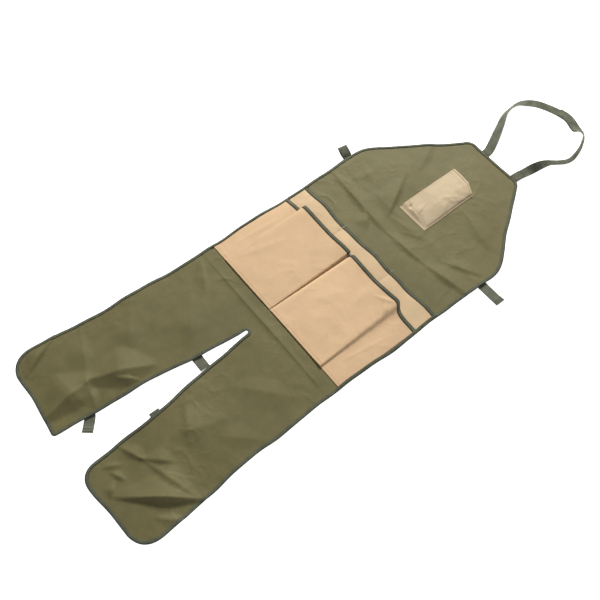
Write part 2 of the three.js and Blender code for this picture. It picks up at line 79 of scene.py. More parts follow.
MIDDLE_X = float(MID_LOW[0] + MID_HIGH[0]) / 2
BODY_HALF = float(MID_HIGH[0] - MID_LOW[0]) / 2
WAIST_Y = float(MID_HIGH[1] + BIB_LOW[1]) / 2
LEG_FOLD_Y = float(MID_LOW[1] + LEG_HIGH[1]) / 2
NECK_Y = float(BIB_HIGH[1])
CROTCH_Y = LEG_FOLD_Y + 0.010
CANVAS_Z = float(MID_LOW[2] + MID_HIGH[2]) / 2
BIB_SEAM_Y = WAIST_Y - 0.022
LEG_SEAM_Y = CROTCH_Y + 0.040
POCKET_BOTTOM_Y = float(REAR_LOW[1])
REAR_MOUTH_Y = float(REAR_HIGH[1])
FRONT_MOUTH_Y = float(size_of("left_front_pocket")[1][1]) + 0.0015
SIDE_EDGE = BODY_HALF - 0.0050

CLOTH = 0.0006  # thickness of the canvas and the pocket cloth
TAPE = 0.0005  # thickness of the edge tape
GAP = 0.0001  # air between two layers that touch
HALF_WEB = 0.0125  # half the width of the CAD webbing
EDGE_STEP = 0.0035  # distance between points along a cloth edge
SEAM_INSET = 0.0060  # from the cloth edge to the seam of its tape
DIVIDER = 0.085  # from the middle to each divider seam of the rear pocket
NECK_TAPE_HALF = 0.0645  # half the length of the tape on the neck edge
NECK_TAPE_RUN = 0.064  # the side tapes start this far along, from the middle of the neck edge
TACK_INSET = 0.0045  # from a pocket mouth to the middle of its bar tack

# Where the cloth starts and stops bending at the waist and at the legs
WAIST_BEND = dict(start=(0, WAIST_Y - 0.010, 0), end=(0, WAIST_Y + 0.014, 0))
LEG_BEND = dict(start=(0, LEG_FOLD_Y + 0.008, 0), end=(0, LEG_FOLD_Y - 0.010, 0))


# ---------------------------------------------------------------- small maths


def smooth(t):
    t = np.clip(t, 0.0, 1.0)
    return t * t * (3 - 2 * t)


def bezier(points, count):
    """Points along a quadratic or cubic curve."""
    t = np.linspace(0, 1, count)[:, None]
    p = [np.array(q, float) for q in points]
    while len(p) > 1:
        p = [a * (1 - t) + b * t for a, b in zip(p[:-1], p[1:])]
    return p[0]


def spline(points, count):
    """A smooth line through the given points, any number of columns."""
    p = np.array(points, float)
    p = np.vstack([2 * p[0] - p[1], p, 2 * p[-1] - p[-2]])
    out = []
    spans = len(p) - 3
    for u in np.linspace(0, spans, count):
        i = min(int(u), spans - 1)
        t = u - i
        a, b, c, d = p[i], p[i + 1], p[i + 2], p[i + 3]
        square = (2 * a - 5 * b + 4 * c - d) * t * t
        cube = (3 * b - a - 3 * c + d) * t ** 3
        out.append(0.5 * (2 * b + (c - a) * t + square + cube))
    return np.array(out)


def spaced(line, step):
    """The same line with points an even distance apart."""
    line = np.array(line, float)
    along = lengths(line)
    count = max(int(round(along[-1] / step)), 1) + 1
    at = np.linspace(0, along[-1], count)
    return np.stack([np.interp(at, along, line[:, k]) for k in range(line.shape[1])], 1)


def lengths(line):
    """Distance along a line at each of its points."""
    return np.concatenate([[0], np.cumsum(np.linalg.norm(np.diff(line, axis=0), axis=1))])


def unit(v):
    n = np.linalg.norm(v, axis=-1, keepdims=True)
    return v / np.maximum(n, 1e-12)


# ---------------------------------------------------------------- how the cloth lies


WAVES = np.random.RandomState(11)


def wave_table(shortest, longest):
    """Twelve waves, each with a direction, a length and a phase."""
    return [(WAVES.uniform(0, 2 * math.pi), WAVES.uniform(shortest, longest), WAVES.uniform(0, 6.28))
            for _ in range(12)]


BROAD = wave_table(0.16, 0.46)
FINE = wave_table(0.045, 0.11)


def waves(x, y, table, height):
    total = np.zeros_like(x)
    for angle, span, phase in table:
        k = 2 * math.pi / span
        total += np.sin(k * (x * math.cos(angle) + y * math.sin(angle)) + phase)
    return total * height / math.sqrt(len(table))


# Creases pressed into the canvas: start, end, height, run on the left and on the right of that line
CREASES = [
    ((-0.262, 0.153), (0.004, 0.137), 0.0050, 0.046, 0.013),
    ((-0.020, 0.139), (0.110, 0.147), 0.0046, 0.040, 0.012),
    ((0.090, 0.145), (0.254, 0.174), 0.0046, 0.040, 0.014),
    ((-0.262, 0.184), (0.245, 0.212), 0.0022, 0.030, 0.034),
    ((-0.128, 0.304), (-0.046, 0.160), 0.0052, 0.010, 0.048),
    ((-0.116, 0.146), (-0.050, 0.104), 0.0044, 0.010, 0.034),
    ((0.050, 0.330), (0.190, 0.296), 0.0026, 0.040, 0.018),
    ((-0.166, 0.440), (-0.106, 0.320), 0.0022, 0.016, 0.046),
    ((-0.060, 0.178), (0.060, 0.196), 0.0026, 0.014, 0.030),
    ((0.120, 0.180), (0.226, 0.238), 0.0028, 0.028, 0.012),
    ((-0.230, 0.236), (-0.150, 0.214), 0.0022, 0.012, 0.030),
    ((-0.258, -0.2513), (0.236, -0.2513), 0.0020, 0.016, 0.008),
    ((-0.290, -0.630), (-0.222, -0.756), 0.0078, 0.0085, 0.034),
    ((-0.276, -0.584), (-0.120, -0.652), 0.0034, 0.022, 0.044),
    ((-0.135, -0.648), (-0.062, -0.666), 0.0058, 0.016, 0.036),
    ((-0.108, -0.792), (-0.130, -0.618), 0.0160, 0.074, 0.036),
    ((-0.140, -0.668), (-0.070, -0.500), 0.0142, 0.070, 0.042),
    ((-0.100, -0.598), (-0.058, -0.550), 0.0042, 0.005, 0.018),
    ((-0.230, -0.470), (-0.130, -0.540), 0.0028, 0.032, 0.044),
    ((-0.180, -0.330), (-0.050, -0.430), 0.0036, 0.040, 0.060),
    ((-0.244, -0.262), (-0.150, -0.310), 0.0030, 0.012, 0.026),
    ((0.124, -0.752), (0.262, -0.584), 0.0135, 0.060, 0.0150),
    ((0.028, -0.680), (0.113, -0.645), 0.0058, 0.024, 0.012),
    ((0.100, -0.650), (0.232, -0.608), 0.0054, 0.034, 0.013),
    ((0.086, -0.660), (0.150, -0.596), 0.0052, 0.030, 0.010),
    ((0.074, -0.722), (0.118, -0.702), 0.0042, 0.014, 0.008),
    ((0.098, -0.722), (0.130, -0.750), 0.0042, 0.008, 0.018),
    ((0.218, -0.700), (0.268, -0.650), 0.0044, 0.014, 0.020),
    ((0.056, -0.736), (0.084, -0.684), 0.0030, 0.012, 0.010),
    ((0.134, -0.450), (0.096, -0.580), 0.0048, 0.052, 0.076),
    ((0.196, -0.300), (0.070, -0.410), 0.0034, 0.060, 0.038),
    ((0.040, -0.500), (0.150, -0.560), 0.0030, 0.040, 0.022),
    ((0.230, -0.420), (0.150, -0.500), 0.0028, 0.030, 0.040),
]


def crease(x, y, start, end, height, left, right):
    """A fold with straight sides that narrows to nothing at both ends."""
    ax, ay = start
    dx, dy = end[0] - ax, end[1] - ay
    span = math.hypot(dx, dy)
    dx, dy = dx / span, dy / span
    along = ((x - ax) * dx + (y - ay) * dy) / span
    across = (x - ax) * -dy + (y - ay) * dx
    ends = np.clip(np.minimum(along / 0.52, (1 - along) / 0.40), 0, 1)
    reach = np.where(across > 0, left, right) * (0.16 + 0.84 * ends)
    side = np.clip(1 - np.abs(across) / reach, 0, 1)
    return height * ends * (0.85 * side + 0.15 * side * side)


def cloth_rise(x, y):
    """How far the canvas stands above its flat level at a place."""
    x = np.asarray(x, float)
    y = np.asarray(y, float)
    calm = 1 - 0.6 * smooth((y - POCKET_BOTTOM_Y + 0.02) / 0.05) * smooth((REAR_MOUTH_Y + 0.05 - y) / 0.05)
    rise = 0.0019 + (waves(x, y, BROAD, 0.0016) + waves(x, y, FINE, 0.00022)) * calm
    for item in CREASES:
        rise = rise + crease(x, y, *item)
    # the seam allowance under the pockets ends in a faint step
    step_up = 0.0005 * smooth((y - LEG_SEAM_Y + 0.0015) / 0.003)
    rise = rise + step_up * smooth((POCKET_BOTTOM_Y + 0.02 - y) / 0.02)
    # never below the flat level: the dips run out softly
    soft = 0.0006
    return 0.5 * (rise + np.sqrt(rise * rise + soft * soft)) * 0.98


def canvas_z(x, y):
    return CANVAS_Z + cloth_rise(x, y)


# ---------------------------------------------------------------- the cut of the cloth


def half_line(side, outer_radius, inner_radius):
    """Edge of one half of the apron, from the middle of the neck edge round the leg to the crotch."""
    neck_half, corner_half = 0.066, 0.097
    hem_y = CROTCH_Y - 0.482
    hem_half, hem_slit = 0.274, 0.055
    slit = 0.005
    parts = [
        np.array([[0.0, NECK_Y], [neck_half, NECK_Y]]),
        bezier([
            (neck_half + 0.004, NECK_Y), (corner_half - 0.008, NECK_Y), (corner_half, NECK_Y - 0.018),
        ], 8),
        bezier([
            (0.226, NECK_Y - 0.196), (0.234, NECK_Y - 0.210),
            (BODY_HALF, NECK_Y - 0.232), (BODY_HALF, NECK_Y - 0.268),
        ], 14),
        np.array([
            [BODY_HALF, WAIST_Y], [BODY_HALF, LEG_FOLD_Y - 0.012],
            [BODY_HALF + 0.004, LEG_FOLD_Y - 0.130],
        ]),
        bezier([
            (hem_half - 0.002, hem_y + 0.026 + outer_radius),
            (hem_half, hem_y + 0.018),
            (hem_half - outer_radius, hem_y + 0.008),
        ], 12),
        bezier([
            (hem_slit + inner_radius, hem_y),
            (hem_slit, hem_y - 0.002),
            (hem_slit - inner_radius * 0.08, hem_y + inner_radius),
        ], 12),
        np.array([[0.030, LEG_FOLD_Y - 0.200], [0.0056, LEG_FOLD_Y - 0.012], [slit, CROTCH_Y - slit]]),
        np.array([
            [slit * math.sin(a), CROTCH_Y - slit + slit * math.cos(a)] for a in np.linspace(1.4, 0, 7)
        ]),
    ]
    line = np.vstack(parts)
    line[:, 0] = MIDDLE_X + side * line[:, 0]
    return spaced(line, EDGE_STEP)


def wavy(line, seed):
    """Cloth edges are never ruler straight: a slow wander of a millimetre or two."""
    s = lengths(line)
    rng = np.random.RandomState(seed)
    wander = np.zeros(len(s))
    for span in (0.31, 0.17, 0.083):
        wander += np.sin(2 * math.pi * s / span + rng.uniform(0, 6.28)) * span * 0.0060
    calm = smooth(s / 0.08) * smooth((s[-1] - s) / 0.10)
    d = unit(np.gradient(line, axis=0))
    n = np.stack([d[:, 1], -d[:, 0]], 1)
    return line + n * (wander * calm)[:, None]


RIGHT_EDGE = wavy(half_line(1, 0.046, 0.042), 3)
LEFT_EDGE = wavy(half_line(-1, 0.046, 0.008), 8)


def cut_at(line, y, inner=False):
    """Index of the first point of an edge line at or past a level, on its outer or its inner run."""
    if inner:
        bottom = int(np.argmin(line[:, 1]))
        for i in range(bottom, len(line)):
            if line[i, 1] >= y:
                return i
    for i in range(len(line)):
        if line[i, 1] <= y:
            return i
    return len(line) - 1


def level_point(line, y):
    """The point where an edge line first crosses a level."""
    i = cut_at(line, y)
    a, b = line[i - 1], line[i]
    t = (a[1] - y) / max(a[1] - b[1], 1e-9)
    return a + (b - a) * t


def cross_line(y):
    """A level line from the left edge to the right edge, with an odd number of points."""
    left, right = level_point(LEFT_EDGE, y), level_point(RIGHT_EDGE, y)
    count = 2 * (int(round((right[0] - left[0]) / 0.004)) // 2) + 1
    return np.stack([np.linspace(left[0], right[0], count), np.full(count, y)], 1)


# ---------------------------------------------------------------- mesh makers


def pair(a, b):
    """The two points of a mesh edge, lower number first."""
    return (min(a, b), max(a, b))


def new_piece(name, verts, faces, material, sharp=None, uvs=None):
    """A smooth-shaded mesh object, with its sharp edges and its cloth coordinates."""
    mesh = bpy.data.meshes.new(name)
    mesh.from_pydata([tuple(map(float, v)) for v in verts], [], [tuple(map(int, f)) for f in faces])
    mesh.update()
    mesh.polygons.foreach_set("use_smooth", [True] * len(mesh.polygons))
    if sharp:
        for e in mesh.edges:
            if pair(*e.vertices) in sharp:
                e.use_edge_sharp = True
    if uvs is not None:
        layer = mesh.uv_layers.new(name="cloth")
        flat = np.zeros((len(mesh.loops), 2), np.float32)
        index = np.zeros(len(mesh.loops), np.int32)
        mesh.loops.foreach_get("vertex_index", index)
        flat[:] = np.asarray(uvs, np.float32)[index]
        layer.data.foreach_set("uv", flat.ravel())
    mesh.materials.append(material)
    piece = bpy.data.objects.new(name, mesh)
    bpy.context.scene.collection.objects.link(piece)
    return piece


def crease_points():
    """Mesh points along every crest and both its feet, so the folds stay crisp."""
    points = []
    for (ax, ay), (bx, by), _, left, right in CREASES:
        span = math.hypot(bx - ax, by - ay)
        nx, ny = -(by - ay) / span, (bx - ax) / span
        for off in (0.0, min(left, 0.004), -min(right, 0.004)):
            for t in np.linspace(0, 1, int(span / 0.004) + 2):
                points.append((ax + (bx - ax) * t + nx * off, ay + (by - ay) * t + ny * off))
    return np.array(points)


def cloth_patch(name, outline, spacing, height_at, material):
    """A flat cut of cloth laid on its height, closed all round."""
    outline = np.array(outline, float)
    extra = crease_points()
    low, high = outline.min(0), outline.max(0)
    xs = np.arange(low[0] + spacing / 2, high[0], spacing)
    ys = np.arange(low[1] + spacing / 2, high[1], spacing * 0.87)
    grid = []
    for j, y in enumerate(ys):
        shift = spacing * 0.5 * (j % 2)
        grid += [(x + shift, y) for x in xs]
    grid = np.array(grid)
    tree = KDTree(len(extra))
    for k, p in enumerate(extra):
        tree.insert((p[0], p[1], 0), k)
    tree.balance()
    far = np.array([tree.find((p[0], p[1], 0))[2] > 0.0021 for p in grid])
    grid = np.vstack([grid[far], extra])
    grid = grid[inside_of(grid, outline)]
    near = np.ones(len(grid), bool)
    for part in np.array_split(np.arange(len(grid)), max(len(grid) // 2000, 1)):
        d = np.linalg.norm(grid[part][:, None, :] - outline[None, :, :], axis=2).min(1)
        near[part] = d > spacing * 0.55
    grid = grid[near]
    points = np.vstack([outline, grid])
    n = len(outline)
    edges = [(i, (i + 1) % n) for i in range(n)]
    result = delaunay_2d_cdt([Vector(p) for p in points], edges, [], 1, 1e-6)
    flat = np.array([tuple(v) for v in result[0]])
    tris = [list(f) for f in result[2]]
    count = {}
    for f in tris:
        for a, b in zip(f, f[1:] + f[:1]):
            count[(a, b)] = count.get((a, b), 0) + 1
    rim = [(a, b) for (a, b) in count if (b, a) not in count]
    z = height_at(flat[:, 0], flat[:, 1])
    m = len(flat)
    top = np.column_stack([flat, z + CLOTH / 2])
    under = np.column_stack([flat, z - CLOTH / 2])
    faces = tris + [[v + m for v in reversed(f)] for f in tris]
    faces += [[b, a, a + m, b + m] for a, b in rim]
    sharp = set()
    for a, b in rim:
        sharp |= {pair(a, b), pair(a + m, b + m)}
    return new_piece(name, np.vstack([top, under]), faces, material, sharp=sharp)


def inside_of(points, outline):
    """Which points lie inside a closed outline."""
    x, y = points[:, 0], points[:, 1]
    result = np.zeros(len(points), bool)
    for (ax, ay), (bx, by) in zip(outline, np.roll(outline, -1, axis=0)):
        if ay == by:
            continue
        hit = ((ay > y) != (by > y)) & (x < (bx - ax) * (y - ay) / (by - ay) + ax)
        result ^= hit
    return result


def shell(name, grid, material):
    """A closed skin from a grid of points: the grid is the outer face."""
    rows, cols = grid.shape[:2]
    du = np.gradient(grid, axis=1)
    dv = np.gradient(grid, axis=0)
    n = unit(np.cross(du, dv))
    inner = grid - n * CLOTH
    verts = np.vstack([grid.reshape(-1, 3), inner.reshape(-1, 3)])
    m = rows * cols
    faces = []
    for j in range(rows - 1):
        for i in range(cols - 1):
            a = j * cols + i
            faces.append([a, a + 1, a + cols + 1, a + cols])
            faces.append([a + m, a + cols + m, a + cols + 1 + m, a + 1 + m])
    border = list(range(cols))
    border += [j * cols + cols - 1 for j in range(1, rows)]
    border += [(rows - 1) * cols + i for i in range(cols - 2, -1, -1)]
    border += [j * cols for j in range(rows - 2, 0, -1)]
    sharp = set()
    for a, b in zip(border, border[1:] + border[:1]):
        faces.append([b, a, a + m, b + m])
        sharp |= {pair(a, b), pair(a + m, b + m)}
    return new_piece(name, verts, faces, material, sharp=sharp)


def loft(name, rings, material, along=None, around=None):
    """A closed bar from matching rings, capped at both ends."""
    rings = np.array(rings)
    n, k = rings.shape[:2]
    faces = []
    for j in range(n - 1):
        for i in range(k):
            a, b = j * k + i, j * k + (i + 1) % k
            faces.append([a, b, b + k, a + k])
    faces.append(list(range(k))[::-1])
    faces.append([(n - 1) * k + i for i in range(k)])
    if around is None:
        around = lengths(rings[0])
    if along is None:
        along = lengths(rings.mean(1))
    uvs = np.zeros((n * k, 2))
    uvs[:, 0] = np.repeat(along, k)
    uvs[:, 1] = np.tile(around, n)
    sharp = set()
    for base in (0, (n - 1) * k):
        for i in range(k):
            sharp.add(pair(base + i, base + (i + 1) % k))
    return new_piece(name, rings.reshape(-1, 3), faces, material, sharp=sharp, uvs=uvs)


def tape_profile(width, open_by):
    """Section of a folded tape: distance into the cloth, height. It wraps the cloth edge at zero."""
    wrap = 0.0007
    h = open_by
    t = TAPE
    return np.array([
        (width, h), (width * 0.5, h), (0.0, h), (-wrap * 0.45, h * 0.5), (-wrap * 0.45, -h * 0.5),
        (0.0, -h), (width * 0.5, -h), (width, -h), (width, -h - t), (width * 0.5, -h - t * 1.1),
        (0.0, -h - t), (-wrap, -h * 0.6), (-wrap - t * 0.3, 0.0), (-wrap, h * 0.6), (0.0, h + t),
        (width * 0.5, h + t * 1.1), (width, h + t),
    ])


def flat_tape(name, line, material, width=0.0074, lift_at=None):
    """Tape folded over the edge of a cloth that lies on its height."""
    line = np.array(line, float)
    inward = into_cloth(line)
    s = lengths(line)
    profile = tape_profile(width, CLOTH / 2 + GAP)
    rings = []
    for i, p in enumerate(line):
        ring = []
        pucker = 0.00012 * math.sin(2 * math.pi * s[i] / 0.023)
        pucker += 0.0001 * math.sin(2 * math.pi * s[i] / 0.0137 + 1)
        for a, h in profile:
            q = p + inward[i] * a
            z = float(canvas_z(q[0], q[1]))
            up = lift_at(q[1]) if (lift_at is not None and h > 0 and a > 0) else 0.0
            ring.append((q[0], q[1], z + h + up + (pucker if h > 0 else 0)))
        rings.append(ring)
    return loft(name, rings, material, along=s, around=profile[:, 0])


def into_cloth(line):
    """Direction into the cloth, square to an edge line, at each of its points."""
    d = unit(np.gradient(line, axis=0))
    inward = np.stack([-d[:, 1], d[:, 0]], 1)
    middle = len(line) // 2
    probe = line[middle] + inward[middle] * 0.004
    whole = np.vstack([RIGHT_EDGE, LEFT_EDGE[::-1]])
    return inward if inside_of(probe[None, :], whole)[0] else -inward


def edge_tape(name, edge, into, normal, material, width=0.0080, open_by=0.0006):
    """Tape folded over a free pocket edge: edge points, direction into the cloth, face direction."""
    s = lengths(edge)
    profile = tape_profile(width, open_by)
    rings = []
    for i in range(len(edge)):
        rings.append([edge[i] + into[i] * a + normal[i] * h for a, h in profile])
    return loft(name, rings, material, along=s, around=profile[:, 0])


def stitches(name, paths, ups, material, pitch=0.0034, length=0.0024, radius=0.00028):
    """Rows of sewn thread along paths with their face directions: one small rounded stitch after another."""
    verts, faces = [], []
    for path, up in zip(paths, ups):
        path = np.array(path, float)
        up = np.array(up, float)
        s = lengths(path)
        count = int(s[-1] / pitch)
        if count < 1:
            continue
        at = (np.arange(count) + 0.5) * (s[-1] / count)
        mid = np.stack([np.interp(at, s, path[:, k]) for k in range(3)], 1)
        nor = unit(np.stack([np.interp(at, s, up[:, k]) for k in range(3)], 1))
        a = np.stack([np.interp(at - length / 2, s, path[:, k]) for k in range(3)], 1)
        b = np.stack([np.interp(at + length / 2, s, path[:, k]) for k in range(3)], 1)
        d = unit(b - a)
        side = np.cross(nor, d)
        for m, n, q, w in zip(mid, nor, d, side):
            base = len(verts)
            m = m + n * (radius * 0.7)
            for t, r in ((-0.5, 0.45), (-0.25, 1.0), (0.25, 1.0), (0.5, 0.45)):
                c = m + q * length * t + n * radius * (0.5 * math.cos(math.pi * t) - 0.3)
                for k in range(5):
                    ang = 2 * math.pi * k / 5
                    verts.append(c + (w * math.cos(ang) + n * math.sin(ang) * 0.8) * radius * r)
            for j in range(3):
                for k in range(5):
                    p = base + j * 5 + k
                    r = base + j * 5 + (k + 1) % 5
                    faces.append([p, r, r + 5, p + 5])
            faces.append([base + k for k in range(4, -1, -1)])
            faces.append([base + 15 + k for k in range(5)])
    return new_piece(name, verts, faces, material)


def on_canvas(line, over):
    """A plan line lifted onto the canvas, with its face directions."""
    line = np.array(line, float)
    z = canvas_z(line[:, 0], line[:, 1]) + over
    up = np.tile([0.0, 0.0, 1.0], (len(line), 1))
    return np.column_stack([line, z]), up


def inset(line, by):
    """An edge line moved into the cloth."""
    line = np.array(line, float)
    return line + into_cloth(line) * by


def place(piece, body, node=None):
    """Hang a piece on the body it rides on, and hide the CAD node that it stands for."""
    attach(piece, body)
    if node:
        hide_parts(node)


# ---------------------------------------------------------------- webbing


def ribbon(name, centre, side, up, width, thick, material, along=None):
    """Flat webbing with rolled selvedges."""
    w, t = width / 2, thick / 2
    profile = [
        (-w, 0.0), (-w + 0.0004, t * 0.9), (-w + 0.0016, t), (-w * 0.4, t), (w * 0.4, t), (w - 0.0016, t),
        (w - 0.0004, t * 0.9), (w, 0.0), (w - 0.0004, -t * 0.9), (w - 0.0016, -t), (w * 0.4, -t),
        (-w * 0.4, -t), (-w + 0.0016, -t), (-w + 0.0004, -t * 0.9),
    ]
    rings = [[c + s * a + u * b for a, b in profile] for c, s, u in zip(centre, side, up)]
    return loft(name, rings, material, along=along)


def loop_line():
    """Plan line of the neck loop with its lean in degrees, and the distance along it."""
    a, b = -0.037, 0.068  # the two roots, from the middle
    stops = [
        (a, -0.022, 0), (a, 0.013, 0), (a - 0.013, 0.045, 8), (a - 0.038, 0.093, 30), (a - 0.060, 0.135, 52),
        (a - 0.065, 0.172, 46), (a - 0.060, 0.206, 12), (a - 0.040, 0.232, 0), (a - 0.006, 0.249, 0),
        (a + 0.034, 0.260, 0), (b - 0.046, 0.2596, 2), (b - 0.012, 0.248, 6), (b + 0.020, 0.236, 66),
        (b + 0.039, 0.207, 74), (b + 0.051, 0.168, 77), (b + 0.050, 0.141, 95), (b + 0.038, 0.120, 101),
        (b + 0.027, 0.104, 94), (b + 0.014, 0.074, 48), (b + 0.004, 0.038, 4), (b, 0.013, 0), (b, -0.022, 0),
    ]
    p = spline(stops, 900)
    p[:, 2] = np.clip(p[:, 2], 0, 120)
    p[:, 0] += MIDDLE_X
    p[:, 1] += NECK_Y
    s = lengths(p[:, :2])
    return p, s


def loop_ribbon(name, start, end, width, thick, lift_at, material):
    """A stretch of the neck loop as webbing, leaning as the loop does."""
    p, s = loop_line()
    count = int((end - start) / 0.0032) + 2
    at = np.linspace(start, end, count)
    xy = np.stack([np.interp(at, s, p[:, 0]), np.interp(at, s, p[:, 1])], 1)
    lean = np.radians(np.interp(at, s, p[:, 2]))
    d = unit(np.gradient(xy, axis=0))
    out = np.column_stack([d[:, 1], -d[:, 0], np.zeros(count)])
    z = np.array([0.0, 0.0, 1.0])
    side = out * np.cos(lean)[:, None] + z * np.sin(lean)[:, None]
    up = -out * np.sin(lean)[:, None] + z * np.cos(lean)[:, None]
    rest = HALF_WEB * np.sin(lean) + thick / 2 * np.abs(np.cos(lean)) + GAP
    centre = np.column_stack([xy, rest]) + up * np.array([lift_at(v) for v in at])[:, None]
    return ribbon(name, centre, side, up, width, thick, material, along=at), (centre, side, up)


# ---------------------------------------------------------------- materials


def group_of(name, inputs, outputs):
    group = bpy.data.node_groups.new(name, "ShaderNodeTree")
    for label, kind, value in inputs:
        socket = group.interface.new_socket(name=label, in_out="INPUT", socket_type=kind)
        socket.default_value = value
    for label, kind in outputs:
        group.interface.new_socket(name=label, in_out="OUTPUT", socket_type=kind)
    return group, group.nodes.new("NodeGroupInput"), group.nodes.new("NodeGroupOutput")


def maths(tree, kind, a, b=None, clamp=False):
    """One maths node. A number goes into its socket and anything else is linked to it."""
    node = tree.nodes.new("ShaderNodeMath")
    node.operation = kind
    node.use_clamp = clamp
    for i, value in enumerate((a, b)):
        if value is None:
            continue
        if isinstance(value, (int, float)):
            node.inputs[i].default_value = value
        else:
            tree.links.new(value, node.inputs[i])
    return node.outputs[0]


def noise(tree, vector, scale, detail=2.0, rough=0.5):
    node = tree.nodes.new("ShaderNodeTexNoise")
    node.inputs["Scale"].default_value = scale
    node.inputs["Detail"].default_value = detail
    node.inputs["Roughness"].default_value = rough
    tree.links.new(vector, node.inputs["Vector"])
    return node.outputs["Fac"]


def weave_group():
    """Plain weave: warp and weft threads crossing over and under, with slubs."""
    group, gin, gout = group_of(
        "Plain weave",
        [("Pitch", "NodeSocketFloat", 0.0006), ("Slub", "NodeSocketFloat", 0.4)],
        [("Height", "NodeSocketFloat"), ("Thread", "NodeSocketFloat")],
    )
    coord = group.nodes.new("ShaderNodeTexCoord")
    split = group.nodes.new("ShaderNodeSeparateXYZ")
    group.links.new(coord.outputs["Object"], split.inputs[0])
    rate = maths(group, "DIVIDE", 2 * math.pi, gin.outputs["Pitch"])
    warp = maths(group, "SINE", maths(group, "MULTIPLY", split.outputs[0], rate))
    weft = maths(group, "SINE", maths(group, "MULTIPLY", split.outputs[1], rate))
    cross = maths(group, "MULTIPLY", warp, weft)
    fuzz = noise(group, coord.outputs["Object"], 900.0, 2.0)
    slub = maths(group, "MULTIPLY", maths(group, "SUBTRACT", fuzz, 0.5), gin.outputs["Slub"])
    height = maths(group, "ADD", maths(group, "MULTIPLY", cross, 0.5), slub)
    group.links.new(maths(group, "ADD", height, 0.5), gout.inputs["Height"])
    group.links.new(maths(group, "ADD", maths(group, "MULTIPLY", cross, 0.5), 0.5), gout.inputs["Thread"])
    return group


def rib_group():
    """Ribbed tape: fine ribs across the length, from the tape's own length coordinate, and a mask for
    painted shade along the tape's folded lips.
    """
    group, gin, gout = group_of(
        "Tape ribs",
        [("Pitch", "NodeSocketFloat", 0.0011), ("Cross", "NodeSocketFloat", 0.25)],
        [("Height", "NodeSocketFloat"), ("Rib", "NodeSocketFloat"), ("Fold", "NodeSocketFloat")],
    )
    coord = group.nodes.new("ShaderNodeTexCoord")
    split = group.nodes.new("ShaderNodeSeparateXYZ")
    group.links.new(coord.outputs["UV"], split.inputs[0])
    rate = maths(group, "DIVIDE", 2 * math.pi, gin.outputs["Pitch"])
    rib = maths(group, "SINE", maths(group, "MULTIPLY", split.outputs[0], rate))
    across_rate = maths(group, "MULTIPLY", rate, 0.8)
    across = maths(group, "SINE", maths(group, "MULTIPLY", split.outputs[1], across_rate))
    both = maths(group, "ADD", maths(group, "MULTIPLY", rib, 0.5),
                 maths(group, "MULTIPLY", across, gin.outputs["Cross"]))
    group.links.new(maths(group, "ADD", both, 0.5), gout.inputs["Height"])
    group.links.new(maths(group, "ADD", maths(group, "MULTIPLY", rib, 0.5), 0.5), gout.inputs["Rib"])
    # painted shade: the Fold output is a mask, 1 at the tape's outer folded lip and 0.6 near its inner edge,
    # where shade falls on the tape
    lip, inner_lip_from = 0.0016, 0.0060
    outer = maths(group, "SUBTRACT", 1.0, maths(group, "DIVIDE", split.outputs[1], lip), clamp=True)
    past = maths(group, "SUBTRACT", split.outputs[1], inner_lip_from)
    inner = maths(group, "DIVIDE", past, lip, clamp=True)
    lip_shade_mask = maths(group, "MAXIMUM", outer, maths(group, "MULTIPLY", inner, 0.6))
    group.links.new(lip_shade_mask, gout.inputs["Fold"])
    return group


def crumple_group():
    """Soft creases left by folding: faint ridges that wander and fade."""
    group, gin, gout = group_of("Soft creases", [("Scale", "NodeSocketFloat", 1.0)],
                                [("Height", "NodeSocketFloat")])
    coord = group.nodes.new("ShaderNodeTexCoord")
    stretch = group.nodes.new("ShaderNodeVectorMath")
    stretch.operation = "SCALE"
    group.links.new(coord.outputs["Object"], stretch.inputs[0])
    group.links.new(gin.outputs["Scale"], stretch.inputs["Scale"])
    total = None
    for scale, sharp, part in ((6.5, 17.0, 0.50), (14.0, 13.0, 0.34), (31.0, 10.0, 0.16)):
        wander = noise(group, stretch.outputs[0], scale, 1.5, 0.45)
        off = maths(group, "ABSOLUTE", maths(group, "SUBTRACT", wander, 0.5))
        ridge = maths(group, "SUBTRACT", 1.0, maths(group, "MULTIPLY", off, sharp), clamp=True)
        term = maths(group, "MULTIPLY", ridge, part)
        total = term if total is None else maths(group, "ADD", total, term)
    where = noise(group, stretch.outputs[0], 4.3, 1.0)
    fade = maths(group, "MULTIPLY", maths(group, "SUBTRACT", where, 0.40), 5.0, clamp=True)
    group.links.new(maths(group, "MULTIPLY", total, fade), gout.inputs["Height"])
    return group


def wear_group():
    """Uneven dye and handling marks: slow patches, small mottling, fine specks."""
    group, gin, gout = group_of(
        "Cloth wear",
        [("Patches", "NodeSocketFloat", 0.5), ("Mottle", "NodeSocketFloat", 0.5)],
        [("Shade", "NodeSocketFloat"), ("Rub", "NodeSocketFloat"), ("Grain", "NodeSocketFloat")],
    )
    coord = group.nodes.new("ShaderNodeTexCoord")
    slow = noise(group, coord.outputs["Object"], 4.0, 3.0)
    mid = noise(group, coord.outputs["Object"], 38.0, 4.0, 0.6)
    fine = noise(group, coord.outputs["Object"], 420.0, 3.0, 0.7)
    a = maths(group, "MULTIPLY", maths(group, "SUBTRACT", slow, 0.5), gin.outputs["Patches"])
    b = maths(group, "MULTIPLY", maths(group, "SUBTRACT", mid, 0.5), gin.outputs["Mottle"])
    group.links.new(maths(group, "ADD", maths(group, "ADD", a, b), 0.5, clamp=True), gout.inputs["Shade"])
    group.links.new(maths(group, "MULTIPLY", mid, fine), gout.inputs["Rub"])
    group.links.new(fine, gout.inputs["Grain"])
    return group


def shade(colour, factor):
    """A colour made lighter or darker, with its alpha at 1."""
    return tuple(min(max(c * factor, 0.0), 1.0) for c in colour[:3]) + (1.0,)


